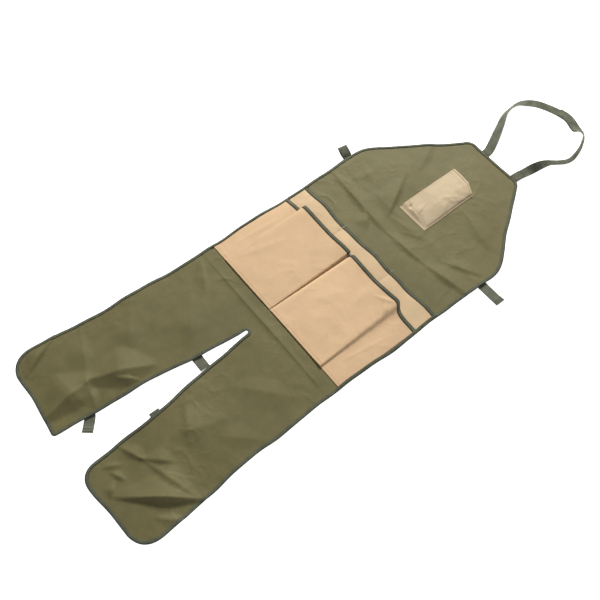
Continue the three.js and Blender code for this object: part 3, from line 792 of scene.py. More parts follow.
def cloth_material(name, colour, pattern, pitch, rough, bump, spread=0.10, sheen=0.25, specular=0.35,
                   tint=(0.5, 0.5, 0.45, 1.0), patches=0.8, mottle=0.5, crumple=0.0, shade_tape_lips=False):
    """Dyed cloth: base colour varied by wear and thread, darkened by painted shade along the lips of bound
    tape, weave or ribs in the bump.
    """
    material = bpy.data.materials.new(name)
    material.use_nodes = True
    tree = material.node_tree
    shader = tree.nodes["Principled BSDF"]
    wear = tree.nodes.new("ShaderNodeGroup")
    wear.node_tree = bpy.data.node_groups["Cloth wear"]
    wear.inputs["Patches"].default_value = patches
    wear.inputs["Mottle"].default_value = mottle
    weave = tree.nodes.new("ShaderNodeGroup")
    weave.node_tree = bpy.data.node_groups[pattern]
    weave.inputs["Pitch"].default_value = pitch
    ramp = tree.nodes.new("ShaderNodeValToRGB")
    ramp.color_ramp.elements[0].position = 0.25
    ramp.color_ramp.elements[0].color = shade(colour, 1 - spread)
    ramp.color_ramp.elements[1].position = 0.75
    ramp.color_ramp.elements[1].color = shade(colour, 1 + spread)
    tree.links.new(wear.outputs["Shade"], ramp.inputs["Fac"])
    mix = tree.nodes.new("ShaderNodeMix")
    mix.data_type = "RGBA"
    mix.blend_type = "MULTIPLY"
    mix.inputs["Factor"].default_value = 0.35
    thread = "Thread" if pattern == "Plain weave" else "Rib"
    low = tree.nodes.new("ShaderNodeValToRGB")
    low.color_ramp.elements[0].position = 0.0
    low.color_ramp.elements[0].color = (0.72, 0.72, 0.70, 1)
    low.color_ramp.elements[1].position = 0.7
    low.color_ramp.elements[1].color = (1, 1, 1, 1)
    tree.links.new(weave.outputs[thread], low.inputs["Fac"])
    tree.links.new(ramp.outputs["Color"], mix.inputs["A"])
    tree.links.new(low.outputs["Color"], mix.inputs["B"])
    cloth_colour = mix.outputs["Result"]
    # painted shade: the tape's colour is darkened to 0.3 grey along its lips by the Fold mask
    if shade_tape_lips:
        lip_shade_mix = tree.nodes.new("ShaderNodeMix")
        lip_shade_mix.data_type = "RGBA"
        lip_shade_mix.blend_type = "MULTIPLY"
        lip_shade_mix.inputs["B"].default_value = (0.30, 0.30, 0.30, 1)
        tree.links.new(weave.outputs["Fold"], lip_shade_mix.inputs["Factor"])
        tree.links.new(cloth_colour, lip_shade_mix.inputs["A"])
        cloth_colour = lip_shade_mix.outputs["Result"]
    tree.links.new(cloth_colour, shader.inputs["Base Color"])
    rough_out = maths(tree, "ADD", maths(tree, "MULTIPLY", wear.outputs["Rub"], 0.25), rough - 0.06)
    tree.links.new(rough_out, shader.inputs["Roughness"])
    grain = maths(tree, "ADD", weave.outputs["Height"], maths(tree, "MULTIPLY", wear.outputs["Grain"], 0.25))
    node = tree.nodes.new("ShaderNodeBump")
    node.inputs["Strength"].default_value = bump
    node.inputs["Distance"].default_value = pitch * 0.35
    tree.links.new(grain, node.inputs["Height"])
    if crumple:
        soft = tree.nodes.new("ShaderNodeGroup")
        soft.node_tree = bpy.data.node_groups["Soft creases"]
        under = tree.nodes.new("ShaderNodeBump")
        under.inputs["Strength"].default_value = 1.0
        under.inputs["Distance"].default_value = crumple
        tree.links.new(soft.outputs["Height"], under.inputs["Height"])
        tree.links.new(under.outputs["Normal"], node.inputs["Normal"])
    tree.links.new(node.outputs["Normal"], shader.inputs["Normal"])
    shader.inputs["Specular IOR Level"].default_value = specular
    shader.inputs["Sheen Weight"].default_value = sheen
    shader.inputs["Sheen Roughness"].default_value = 0.45
    shader.inputs["Sheen Tint"].default_value = tint
    material.diffuse_color = shade(colour, 1)
    return material


def material_of(name):
    return bpy.data.materials[name]


# ---------------------------------------------------------------- settings


class ApronSizes(bpy.types.PropertyGroup):
    """Sizes a maker would change."""

    canvas_grid: bpy.props.FloatProperty(
        name="Canvas grid", description="Spacing of the canvas mesh",
        default=0.0052, min=0.003, max=0.02, unit="LENGTH")
    webbing_width: bpy.props.FloatProperty(
        name="Webbing width", description="Width of every strap",
        default=0.025, min=0.01, max=0.05, unit="LENGTH")
    webbing_thick: bpy.props.FloatProperty(
        name="Webbing thickness", description="Thickness of every strap",
        default=0.00115, min=0.0005, max=0.003, unit="LENGTH")
    face_rise: bpy.props.FloatProperty(
        name="Pocket face rise", description="How far the front pocket faces stand up at the mouth",
        default=0.0105, min=0.002, max=0.02, unit="LENGTH")
    chest_rise: bpy.props.FloatProperty(
        name="Chest pocket rise", description="How far the chest pocket stands up at its mouth",
        default=0.0125, min=0.002, max=0.02, unit="LENGTH")
    stitch_pitch: bpy.props.FloatProperty(
        name="Stitch pitch", description="Distance from one stitch to the next",
        default=0.0036, min=0.002, max=0.008, unit="LENGTH")


class ApronColours(bpy.types.PropertyGroup):
    """Dye colours of the cloths."""

    canvas: bpy.props.FloatVectorProperty(
        name="Canvas", description="Olive canvas", subtype="COLOR", size=3,
        default=(0.185, 0.163, 0.070))
    binding: bpy.props.FloatVectorProperty(
        name="Binding", description="Grey-green edge tape", subtype="COLOR", size=3,
        default=(0.128, 0.138, 0.090))
    pocket: bpy.props.FloatVectorProperty(
        name="Pocket canvas", description="Tan canvas", subtype="COLOR", size=3,
        default=(0.800, 0.555, 0.333))
    chest: bpy.props.FloatVectorProperty(
        name="Chest canvas", description="Pale tan canvas", subtype="COLOR", size=3,
        default=(0.650, 0.520, 0.345))
    webbing: bpy.props.FloatVectorProperty(
        name="Webbing", description="Strap webbing", subtype="COLOR", size=3,
        default=(0.180, 0.186, 0.132))
    thread: bpy.props.FloatVectorProperty(
        name="Thread", description="Pale tack thread", subtype="COLOR", size=3,
        default=(0.62, 0.60, 0.52))


def sizes():
    return bpy.context.scene.apron_sizes


def colours():
    return bpy.context.scene.apron_colours


# ---------------------------------------------------------------- operators


class APRON_OT_cloths(bpy.types.Operator):
    """Mix the cloth, tape, webbing and thread materials"""

    bl_idname = "apron.cloths"
    bl_label = "Cloths"

    def execute(self, context):
        weave_group()
        rib_group()
        wear_group()
        crumple_group()
        c = colours()
        cloth_material("Olive canvas", tuple(c.canvas), "Plain weave", 0.0007, 0.58, 0.35, spread=0.12,
                       sheen=0.04, specular=0.18, tint=(0.62, 0.60, 0.44, 1), patches=0.9, mottle=0.8,
                       crumple=0.0017)
        washed = tuple(a * b for a, b in zip(c.pocket, (0.97, 1.03, 1.05)))
        for name, colour, tint, crumple in (
            ("Tan canvas", tuple(c.pocket), (0.9, 0.8, 0.65, 1), 0.0009),
            ("Washed tan canvas", washed, (0.9, 0.8, 0.65, 1), 0.0009),
            ("Pale tan canvas", tuple(c.chest), (0.9, 0.85, 0.72, 1), 0.0014),
        ):
            cloth_material(name, colour, "Plain weave", 0.0007, 0.80, 0.32, spread=0.07, sheen=0.06,
                           specular=0.15, tint=tint, patches=0.9, mottle=0.7, crumple=crumple)
        cloth_material("Grosgrain tape", tuple(c.binding), "Tape ribs", 0.0012, 0.74, 0.55, spread=0.22,
                       sheen=0.20, specular=0.24, tint=(0.55, 0.62, 0.5, 1), mottle=1.4, shade_tape_lips=True)
        cloth_material("Webbing", tuple(c.webbing), "Tape ribs", 0.0021, 0.80, 1.0, spread=0.26,
                       sheen=0.20, specular=0.22, tint=(0.6, 0.65, 0.5, 1), mottle=1.8, crumple=0.0010)
        cloth_material("Pale thread", tuple(c.thread), "Plain weave", 0.0004, 0.65, 0.3, spread=0.06)
        cloth_material("Olive thread", shade(tuple(c.binding), 0.85)[:3], "Plain weave", 0.0004, 0.6, 0.3,
                       spread=0.10)
        cloth_material("Tan thread", shade(tuple(c.pocket), 0.88)[:3], "Plain weave", 0.0004, 0.6, 0.3,
                       spread=0.08)
        cloth_material("Hook tape", (0.075, 0.082, 0.058), "Plain weave", 0.0011, 0.95, 1.0, spread=0.25,
                       sheen=0.5)
        return {"FINISHED"}


def whole_side(line, start_y, end_y):
    """The stretch of an edge line between two levels."""
    a = cut_at(line, start_y)
    b = cut_at(line, end_y)
    first = level_point(line, start_y)
    last = level_point(line, end_y)
    return np.vstack([first, line[a:b][np.linalg.norm(line[a:b] - first, axis=1) > 1e-4], last])


class APRON_OT_canvas(bpy.types.Operator):
    """Lay the olive canvas: bib, middle and two legs of one cloth"""

    bl_idname = "apron.canvas"
    bl_label = "Canvas"

    def execute(self, context):
        step = sizes().canvas_grid
        cloth = material_of("Olive canvas")
        right_bib, left_bib = [
            np.vstack([edge[:cut_at(edge, BIB_SEAM_Y)], level_point(edge, BIB_SEAM_Y)])
            for edge in (RIGHT_EDGE, LEFT_EDGE)]
        seam = cross_line(BIB_SEAM_Y)
        bib = cloth_patch(
            "bib_canvas", np.vstack([right_bib[1:-1], seam[::-1], left_bib[1:-1][::-1], left_bib[:1]]),
            step, canvas_z, cloth)
        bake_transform(bib)
        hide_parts("bib_panel")

        low_seam = cross_line(LEG_SEAM_Y)
        right_mid = whole_side(RIGHT_EDGE, BIB_SEAM_Y, LEG_SEAM_Y)
        left_mid = whole_side(LEFT_EDGE, BIB_SEAM_Y, LEG_SEAM_Y)
        mid = cloth_patch(
            "middle_canvas", np.vstack([seam[1:-1], right_mid, low_seam[::-1][1:-1], left_mid[::-1]]),
            step, canvas_z, cloth)
        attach(mid, "middle")
        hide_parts("mid_panel")

        centre = len(low_seam) // 2
        for side, edge, half in (
            ("left", LEFT_EDGE, low_seam[:centre + 1][::-1]), ("right", RIGHT_EDGE, low_seam[centre:]),
        ):
            outer = edge[cut_at(edge, LEG_SEAM_Y):]
            outer = outer[np.linalg.norm(outer - half[-1], axis=1) > 1e-3]
            top = half[0]
            crotch = outer[-1].copy()
            crotch[0] = top[0]
            middle = np.stack([np.full(9, top[0]), np.linspace(crotch[1], top[1], 10)[1:]], 1)[:-1]
            outline = np.vstack([half, outer[:-1], crotch[None, :], middle])
            leg = cloth_patch(side + "_leg_canvas", outline, step, canvas_z, cloth)
            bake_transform(leg)
            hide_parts(side + "_leg_panel")
        return {"FINISHED"}


def tape_lift(y):
    """The side binding rides up over the edges of the sewn pockets."""
    t = smooth((y - POCKET_BOTTOM_Y + 0.012) / 0.012) * smooth((REAR_MOUTH_Y + 0.012 - y) / 0.012)
    return 0.0021 * float(t)


class APRON_OT_binding(bpy.types.Operator):
    """Fold the ribbed tape over every canvas edge and sew it down"""

    bl_idname = "apron.binding"
    bl_label = "Edge binding"

    def execute(self, context):
        tape = material_of("Grosgrain tape")
        thread = material_of("Olive thread")
        inner_y = CROTCH_Y - 0.005
        for side, edge in (("left", LEFT_EDGE), ("right", RIGHT_EDGE)):
            body = side + "_leg"
            neck_end = int(np.argmax(lengths(edge) > NECK_TAPE_RUN))
            bib_line = edge[neck_end:cut_at(edge, BIB_SEAM_Y)]
            bib_run = np.vstack([bib_line, level_point(edge, BIB_SEAM_Y)])
            bib = flat_tape("bib_" + side + "_tape", bib_run, tape)
            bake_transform(bib)
            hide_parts("bib_" + side + "_binding")
            mid_line = whole_side(edge, BIB_SEAM_Y, LEG_SEAM_Y)
            mid = flat_tape("middle_" + side + "_tape", mid_line, tape, lift_at=tape_lift)
            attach(mid, "middle")
            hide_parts("mid_" + side + "_binding")
            last = cut_at(edge, inner_y, inner=True)
            leg_line = np.vstack([level_point(edge, LEG_SEAM_Y), edge[cut_at(edge, LEG_SEAM_Y):last + 1]])
            leg = flat_tape(side + "_leg_tape", spaced(leg_line, EDGE_STEP), tape)
            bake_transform(leg)
            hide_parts(side + "_leg_binding")
            for name, line, far_body, bend in (
                ("bib_" + side + "_tape_seam", bib_line, "bib", WAIST_BEND),
                ("middle_" + side + "_tape_seam", mid_line, None, None),
                (side + "_leg_tape_seam", leg_line, body, LEG_BEND),
            ):
                row = inset(spaced(line, EDGE_STEP), SEAM_INSET)
                path, up = on_canvas(row, CLOTH / 2 + TAPE + GAP)
                if bend is None:
                    path[:, 2] += np.array([tape_lift(y) for y in row[:, 1]])
                sewn = stitches(name, [path], [up], thread, pitch=sizes().stitch_pitch)
                if bend is None:
                    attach(sewn, "middle")
                else:
                    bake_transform(sewn)
        neck_ends = np.array([[MIDDLE_X - NECK_TAPE_HALF, NECK_Y], [MIDDLE_X + NECK_TAPE_HALF, NECK_Y]])
        neck_line = spaced(neck_ends, EDGE_STEP)
        neck = flat_tape("neck_tape", neck_line, tape)
        place(neck, "bib", "neck_binding")
        path, up = on_canvas(inset(neck_line, SEAM_INSET), CLOTH / 2 + TAPE + GAP)
        sewn = stitches("neck_tape_seam", [path], [up], thread, pitch=sizes().stitch_pitch)
        place(sewn, "bib")
        i = cut_at(LEFT_EDGE, inner_y, inner=True)
        j = cut_at(RIGHT_EDGE, inner_y, inner=True)
        turn = np.vstack([LEFT_EDGE[i:], RIGHT_EDGE[j:][::-1][1:]])
        crotch = flat_tape("crotch_tape", spaced(turn, 0.0016), tape, width=0.0070)
        place(crotch, "middle", "crotch_binding")
        return {"FINISHED"}


# ---------------------------------------------------------------- pockets


def rear_rise(x, y):
    """Face of the rear pocket above the canvas."""
    x = np.asarray(x, float)
    y = np.asarray(y, float)
    left, right = MIDDLE_X - DIVIDER, MIDDLE_X + DIVIDER
    lo = np.where(x < left, MIDDLE_X - BODY_HALF, np.where(x < right, left, right))
    hi = np.where(x < left, left, np.where(x < right, right, MIDDLE_X + BODY_HALF))
    t = np.clip((x - lo) / (hi - lo), 0, 1)
    puff = np.sin(math.pi * t) ** 0.7 * (1 + 0.22 * np.sin(9 * t + 12 * x))
    open_up = smooth((y - REAR_MOUTH_Y + 0.120) / 0.120)
    return 0.0009 + 0.0034 * puff * open_up


def rear_z(x, y):
    return canvas_z(x, y) + rear_rise(x, y)


def rear_mouth_y(x):
    """The rear pocket's mouth wanders a little."""
    t = (np.asarray(x) - MIDDLE_X) / BODY_HALF
    return REAR_MOUTH_Y + 0.0018 * np.sin(7.3 * t + 0.6) + 0.0010 * np.sin(17 * t)


class APRON_OT_rear_pocket(bpy.types.Operator):
    """Sew on the tan rear pocket with its three compartments and bound mouth"""

    bl_idname = "apron.rear_pocket"
    bl_label = "Rear pocket"

    def execute(self, context):
        cols = np.linspace(MIDDLE_X - SIDE_EDGE, MIDDLE_X + SIDE_EDGE, 128)
        rows = np.concatenate([np.linspace(0, 0.7, 30, endpoint=False), np.linspace(0.7, 1, 34)])
        grid = np.zeros((len(rows), len(cols), 3))
        mouth = rear_mouth_y(cols)
        for j, v in enumerate(rows):
            y = POCKET_BOTTOM_Y + (mouth - POCKET_BOTTOM_Y) * v
            grid[j] = np.column_stack([cols, y, rear_z(cols, y)])
        pocket = shell("rear_pocket_cloth", grid, material_of("Washed tan canvas"))
        place(pocket, "middle", "rear_pocket")
        edge = grid[-1] - np.array([0, 0, CLOTH / 2])
        into = unit(grid[-3] - grid[-1])
        face = unit(np.cross(np.gradient(grid[-1], axis=0), -into))
        tape = edge_tape("rear_pocket_tape", edge, into, face, material_of("Grosgrain tape"))
        place(tape, "middle", "rear_pocket_binding")
        dividers = (MIDDLE_X - DIVIDER, MIDDLE_X + DIVIDER)
        y = np.linspace(POCKET_BOTTOM_Y + 0.004, REAR_MOUTH_Y - 0.012, 120)
        rows_of_thread = []
        for middle in dividers:
            for off in (-0.0016, 0.0016):
                x = np.full_like(y, middle + off)
                rows_of_thread.append(np.column_stack([x, y, rear_z(x, y)]))
        ups = [np.tile([0, 0, 1.0], (len(y), 1))] * len(rows_of_thread)
        line = edge + into * 0.0068 + face * (CLOTH / 2 + TAPE + 0.0003)
        seams = stitches("rear_pocket_seams", rows_of_thread, ups, material_of("Tan thread"),
                         pitch=sizes().stitch_pitch)
        place(seams, "middle")
        sewn = stitches("rear_pocket_tape_seam", [line], [face], material_of("Olive thread"),
                        pitch=sizes().stitch_pitch)
        place(sewn, "middle")
        for side, x in zip(("left", "right"), dividers):
            k = int(np.argmin(abs(cols - x)))
            bar_tack("rear_tack_" + side, edge[k] + into[k] * TACK_INSET, into[k], face[k])
        return {"FINISHED"}


def bar_tack(node, at, along, up):
    """A dense block of thread with two loose ends, in place of a CAD tack."""
    side = np.cross(up, along)
    paths, ups = [], []
    for k in range(11):
        t = (k / 10 - 0.5) * 0.0085
        a = at + along * t - side * 0.0011 + up * (TAPE + 0.0009)
        b = at + along * t + side * 0.0011 + up * (TAPE + 0.0009)
        paths.append(np.linspace(a, b, 4))
        ups.append(np.tile(up, (4, 1)))
    tail = at - along * 0.0045 + up * (TAPE + 0.0010)
    for bend in (-0.6, 0.5):
        line = np.array([tail + (-along * t + side * bend * t * t * 80) for t in np.linspace(0, 0.006, 8)])
        paths.append(line)
        ups.append(np.tile(up, (8, 1)))
    piece = stitches(node + "_thread", paths, ups, material_of("Pale thread"), pitch=0.0022,
                     length=0.0026, radius=0.00034)
    place(piece, "middle", node)


def front_section(side, rise):
    """Stops across a front pocket: place at the mouth and at the bottom, height at both, and how far
    the mouth drops there."""
    edge = SIDE_EDGE - 0.0012
    if side == "left":
        return np.array([
            (-edge, -edge, 0.0009, 0.0009, 0.0165), (-0.232, -0.232, 0.0022, 0.0010, 0.0163),
            (-0.216, -0.216, 0.0040, 0.0010, 0.0156), (-0.200, -0.200, 0.0048, 0.0011, 0.0150),
            (-0.187, -0.189, 0.0050, 0.0012, 0.0146), (-0.183, -0.187, 0.0054, 0.0014, 0.0130),
            (-0.184, -0.188, 0.0060, 0.0017, 0.0090), (-0.1895, -0.1905, 0.0070, 0.0020, 0.0030),
            (-0.1910, -0.1910, 0.0080, 0.0023, 0.0010), (-0.1890, -0.1895, 0.0090, 0.0026, 0.0004),
            (-0.178, -0.180, rise * 0.98, 0.0028, 0.0), (-0.150, -0.150, rise * 1.04, 0.0028, 0.0010),
            (-0.110, -0.110, rise * 1.10, 0.0027, 0.0022), (-0.070, -0.070, rise * 1.12, 0.0026, 0.0022),
            (-0.040, -0.040, rise * 1.06, 0.0024, 0.0006), (-0.0200, -0.022, rise * 0.97, 0.0021, 0.0),
            (-0.0152, -0.0150, rise * 0.88, 0.0018, 0.0004), (-0.0144, -0.0138, rise * 0.62, 0.0013, 0.0012),
            (-0.0164, -0.0140, rise * 0.26, 0.0010, 0.0022),
            (-0.0130, -0.0132, 0.0009, 0.0008, 0.0026),
        ])
    return np.array([
        (-0.0112, -0.0116, 0.0009, 0.0008, 0.0030), (-0.0080, -0.0107, rise * 0.36, 0.0012, 0.0026),
        (-0.0040, -0.0092, rise * 0.72, 0.0017, 0.0010), (0.0010, -0.0036, rise * 0.94, 0.0021, 0.0),
        (0.018, 0.018, rise * 1.02, 0.0024, 0.0010), (0.055, 0.055, rise * 1.08, 0.0027, 0.0034),
        (0.095, 0.095, rise * 1.12, 0.0028, 0.0040), (0.132, 0.134, rise * 1.10, 0.0029, 0.0020),
        (0.153, 0.160, rise * 1.09, 0.0040, 0.0000), (0.1632, 0.1712, rise * 1.04, 0.0048, 0.0010),
        (0.1685, 0.1750, rise * 0.88, 0.0044, 0.0042), (0.1730, 0.1770, rise * 0.64, 0.0026, 0.0080),
        (0.1778, 0.1786, rise * 0.42, 0.0012, 0.0112), (0.184, 0.182, rise * 0.29, 0.0010, 0.0140),
        (0.193, 0.190, 0.0024, 0.0010, 0.0160), (0.206, 0.205, 0.0026, 0.0010, 0.0176),
        (0.222, 0.222, 0.0024, 0.0010, 0.0178), (edge, edge, 0.0009, 0.0009, 0.0174),
    ])


# Small folds in the pocket faces: start, end, height, run on either side
FACE_CREASES = [
    ((0.128, 0.012), (0.160, -0.030), 0.0022, 0.010, 0.006),
    ((0.100, -0.010), (0.152, 0.018), 0.0018, 0.008, 0.012),
    ((0.070, 0.018), (0.098, -0.080), 0.0014, 0.022, 0.014),
    ((0.010, -0.150), (0.060, -0.040), 0.0012, 0.026, 0.020),
    ((-0.190, -0.200), (-0.150, -0.060), 0.0014, 0.018, 0.022),
    ((-0.110, 0.010), (-0.060, -0.070), 0.0012, 0.024, 0.016),
    ((-0.226, -0.190), (-0.214, -0.020), 0.0012, 0.008, 0.012),
    ((0.182, -0.190), (0.206, -0.030), 0.0012, 0.010, 0.008),
]


def front_grid(side, rise):
    """Outer face of a front pocket, from its bottom row to its mouth."""
    stops = front_section(side, rise)
    stops[:, :2] += MIDDLE_X
    fine = spline(stops, 170)
    rows = np.concatenate([np.linspace(0, 0.8, 50, endpoint=False), np.linspace(0.8, 1, 24)])
    grid = np.zeros((len(rows), len(fine), 3))
    across = np.linspace(0, 1, len(fine))
    for j, v in enumerate(rows):
        y = POCKET_BOTTOM_Y + 0.0004 + (FRONT_MOUTH_Y - fine[:, 4] - POCKET_BOTTOM_Y) * v
        k = v ** 0.9
        x = fine[:, 1] + (fine[:, 0] - fine[:, 1]) * k
        h = fine[:, 3] + (fine[:, 2] - fine[:, 3]) * k
        free = np.sin(math.pi * across) ** 0.5 * smooth(v / 0.08)
        h = h + 0.0008 * math.sin(math.pi * v) * free
        for item in FACE_CREASES:
            h = h + crease(x, y, *item) * free
        grid[j] = np.column_stack([x, y, rear_z(x, y) + h])
    return grid


class APRON_OT_front_pockets(bpy.types.Operator):
    """Sew on the two pleated front pockets with their bound mouths"""

    bl_idname = "apron.front_pockets"
    bl_label = "Front pockets"

    def execute(self, context):
        for side in ("left", "right"):
            grid = front_grid(side, sizes().face_rise)
            pocket = shell(side + "_front_pocket_cloth", grid, material_of("Tan canvas"))
            place(pocket, "middle", side + "_front_pocket")
            into = unit(grid[-3] - grid[-1])
            across = unit(np.gradient(grid[-1], axis=0))
            face = unit(np.cross(across, -into))
            edge = grid[-1] - face * (CLOTH / 2)
            tape = edge_tape(side + "_front_pocket_tape", edge, into, face, material_of("Grosgrain tape"),
                             width=0.0092, open_by=0.0004)
            place(tape, "middle", side + "_front_pocket_binding")
            line = edge + into * 0.0080 + face * (0.0004 + TAPE + 0.0002)
            sewn = stitches(side + "_front_pocket_tape_seam", [line], [face], material_of("Olive thread"),
                            pitch=sizes().stitch_pitch)
            place(sewn, "middle")
            row = grid[1] + np.array([0, 0.0028, 0.0004])
            flat = row[np.concatenate([[True], np.diff(row[:, 0]) > 1e-4])]
            seam = stitches(side + "_front_pocket_seam", [flat], [np.tile([0, 0, 1.0], (len(flat), 1))],
                            material_of("Tan thread"), pitch=sizes().stitch_pitch)
            place(seam, "middle")
            k = -3 if side == "left" else 2
            bar_tack("front_tack_" + side, edge[k] + into[k] * TACK_INSET, into[k], face[k])
        return {"FINISHED"}


# Folds of the chest pocket, measured from its lower left corner: start, end, height, run on either side
CHEST_FOLDS = [
    ((0.002, 0.030), (0.030, 0.016), -0.0046, 0.003, 0.009),
    ((0.014, 0.034), (0.024, 0.008), -0.0036, 0.003, 0.008),
    ((0.020, 0.021), (0.090, 0.011), -0.0030, 0.009, 0.005),
    ((0.034, 0.060), (0.050, 0.014), 0.0030, 0.006, 0.014),
    ((0.040, 0.084), (0.090, 0.146), 0.0020, 0.012, 0.020),
    ((0.016, 0.150), (0.050, 0.120), -0.0012, 0.014, 0.020),
    ((0.060, 0.110), (0.086, 0.070), 0.0020, 0.008, 0.014),
]


def chest_section(top):
    """Stops across the chest pocket: place at the mouth and at the bottom, height at both, and how
    far the mouth drops there. The first four make the side fold under the left edge."""
    return np.array([
        (0.026, 0.030, 0.0008, 0.0008, 0.0), (0.022, 0.026, 0.0016, 0.0014, 0.0),
        (0.000, 0.004, 0.0030, 0.0026, 0.0), (-0.004, 0.000, 0.0042, 0.0036, 0.0),
        (0.004, 0.010, 0.0050, 0.0046, 0.0), (0.16, 0.15, 0.0068, 0.0058, 0.0010),
        (0.36, 0.32, 0.0088, 0.0070, 0.0034), (0.56, 0.46, top * 0.80, 0.0076, 0.0062),
        (0.640, 0.52, top * 0.84, 0.0076, 0.0078), (0.690, 0.62, top * 0.81, 0.0070, 0.0100),
        (0.80, 0.77, top * 0.68, 0.0054, 0.0150), (0.910, 0.90, top * 0.45, 0.0038, 0.0196),
        (0.952, 0.950, top * 0.26, 0.0024, 0.0218), (0.968, 0.968, 0.0017, 0.0012, 0.0230),
        (1.0, 1.0, 0.0012, 0.0010, 0.0240),
    ])


def chest_grid(top):
    """Outer face of the chest pocket, from its bottom row to its mouth."""
    left, right = float(CHEST_LOW[0]), float(CHEST_HIGH[0])
    low, high = float(CHEST_LOW[1]), float(CHEST_HIGH[1])
    wide = right - left
    least = 0.0009
    foot_run = 0.085
    fine = spline(chest_section(top), 150)
    rows = np.concatenate([[0, 0.006, 0.013, 0.018], np.linspace(0.026, 1, 84)])
    grid = np.zeros((len(rows), len(fine), 3))
    for j, v in enumerate(rows):
        k = v ** 0.8
        x = left + wide * (fine[:, 1] + (fine[:, 0] - fine[:, 1]) * k)
        y = low + (high + 0.0020 - fine[:, 4] - low) * v
        h = fine[:, 3] + (fine[:, 2] - fine[:, 3]) * k
        foot = smooth((v - 0.016) / foot_run)
        # the side fold under the left edge opens out flat at the sewn bottom
        opened = left + wide * 0.012 * np.arange(len(fine)) / 60
        x = np.where(fine[:, 0] < 0.03, x + (opened - x) * (1 - foot), x)
        h = least + (h - least) * foot
        fold = np.zeros(len(fine))
        for (ax, ay), (bx, by), height, run_left, run_right in CHEST_FOLDS:
            fold += crease(x, y, (left + ax, low + ay), (left + bx, low + by), height, run_left, run_right)
        z = canvas_z(x, y) + CLOTH / 2 + np.maximum(h + fold * foot * 0.65, least)
        grid[j] = np.column_stack([x, y, z])
    return grid


class APRON_OT_chest_pocket(bpy.types.Operator):
    """Sew on the pale chest pocket, standing open toward the neck"""

    bl_idname = "apron.chest_pocket"
    bl_label = "Chest pocket"

    def execute(self, context):
        cloth = material_of("Pale tan canvas")
        grid = chest_grid(sizes().chest_rise)
        pocket = shell("chest_pocket_cloth", grid, cloth)
        place(pocket, "bib", "chest_pocket")
        across = unit(np.gradient(grid, axis=1))
        upward = unit(np.gradient(grid, axis=0))
        face = unit(np.cross(across, upward))
        # rows and columns of the grid that the seams follow: the fold, the right edge, the foot, the hem
        fold, edge, foot, hem = 45, -3, 3, -8
        lines, ups = [], []
        for run in (
            (slice(foot, None), fold), (slice(foot, None), edge),
            (hem, slice(fold, edge)), (foot, slice(8, edge)),
        ):
            lines.append(grid[run] + face[run] * GAP)
            ups.append(face[run])
        sewn = stitches("chest_pocket_seams", lines, ups, material_of("Tan thread"),
                        pitch=sizes().stitch_pitch)
        place(sewn, "bib")
        mouth = (-1, slice(34, None))
        hem_tape = edge_tape("chest_pocket_hem", grid[mouth] - face[mouth] * (CLOTH / 2), -upward[mouth],
                             face[mouth], cloth, width=0.0050, open_by=0.0002)
        place(hem_tape, "bib")
        return {"FINISHED"}


# ---------------------------------------------------------------- straps


def strap_stitches(name, centre, side, up, width, thick, body, start, end):
    """Box stitching with crossed rows on a sewn strap end."""
    c = centre[start:end]
    s = side[start:end]
    u = up[start:end]
    half = width / 2 - 0.003
    over = thick / 2 + GAP
    lines = [c + s * half + u * over, c - s * half + u * over]
    ups = [u, u]
    t = np.linspace(-half, half, len(c))[:, None]
    lines += [c + s * t + u * over, c - s * t + u * over]
    ups += [u, u]
    for k in (0, len(c) - 1):
        line = np.array([c[k] + s[k] * a + u[k] * over for a in np.linspace(-half, half, 8)])
        lines.append(line)
        ups.append(np.tile(u[k], (8, 1)))
    piece = stitches(name, lines, ups, material_of("Olive thread"), pitch=0.0033, radius=0.0003)
    place(piece, body)


class APRON_OT_neck_loop(bpy.types.Operator):
    """Lay the neck loop in its two halves of webbing, closed by hook and loop tape"""

    bl_idname = "apron.neck_loop"
    bl_label = "Neck loop"

    def execute(self, context):
        width, thick = sizes().webbing_width, sizes().webbing_thick
        web = material_of("Webbing")
        total = loop_line()[1][-1]
        start, end = total * 34 / 72, total * 42 / 72  # the halves lie over each other between these
        web_layer, tape_layer, clearance = 0.0012, 0.0008, 0.0003
        lift = web_layer + 2 * tape_layer + 3 * clearance

        def ramp(v):
            return lift * (1 - float(smooth((v - end - 0.004) / 0.042)))

        left, left_lie = loop_ribbon("neck_webbing_left", 0, end, width, thick, lambda v: 0.0, web)
        right, right_lie = loop_ribbon("neck_webbing_right", start, total, width, thick, ramp, web)
        loop_tape, hook_tape = [
            loop_ribbon(name, start + 0.006, end - 0.006, 0.021, tape_layer, lambda v, up=up: up,
                        material_of("Hook tape"))[0]
            for name, up in (("neck_loop_tape", 0.00145), ("neck_hook_tape", 0.0026))]
        for piece, node, name in (
            (left, "neck_strap_left", "webbing"), (right, "neck_strap_right", "webbing"),
            (loop_tape, "neck_loop_patch", "hook_and_loop"), (hook_tape, "neck_hook_patch", "hook_and_loop"),
        ):
            place(piece, "neck_loop", node)
        strap_stitches("neck_right_closure_seam", *right_lie, width, thick, "neck_loop", 1, 24)
        for name, lie, way in (("left", left_lie, 1), ("right", right_lie, -1)):
            # the doubled end is sewn on top, a little way up from the root
            centre, side, up = [part[::way][8:18] for part in lie]
            centre = centre + up * (thick + GAP)
            pad = ribbon("neck_" + name + "_doubled_end", centre, side, up, width * 0.985, thick, web)
            place(pad, "neck_loop")
            strap_stitches("neck_" + name + "_end_seam", centre, side, up, width, thick, "neck_loop", 1, 9)
        return {"FINISHED"}


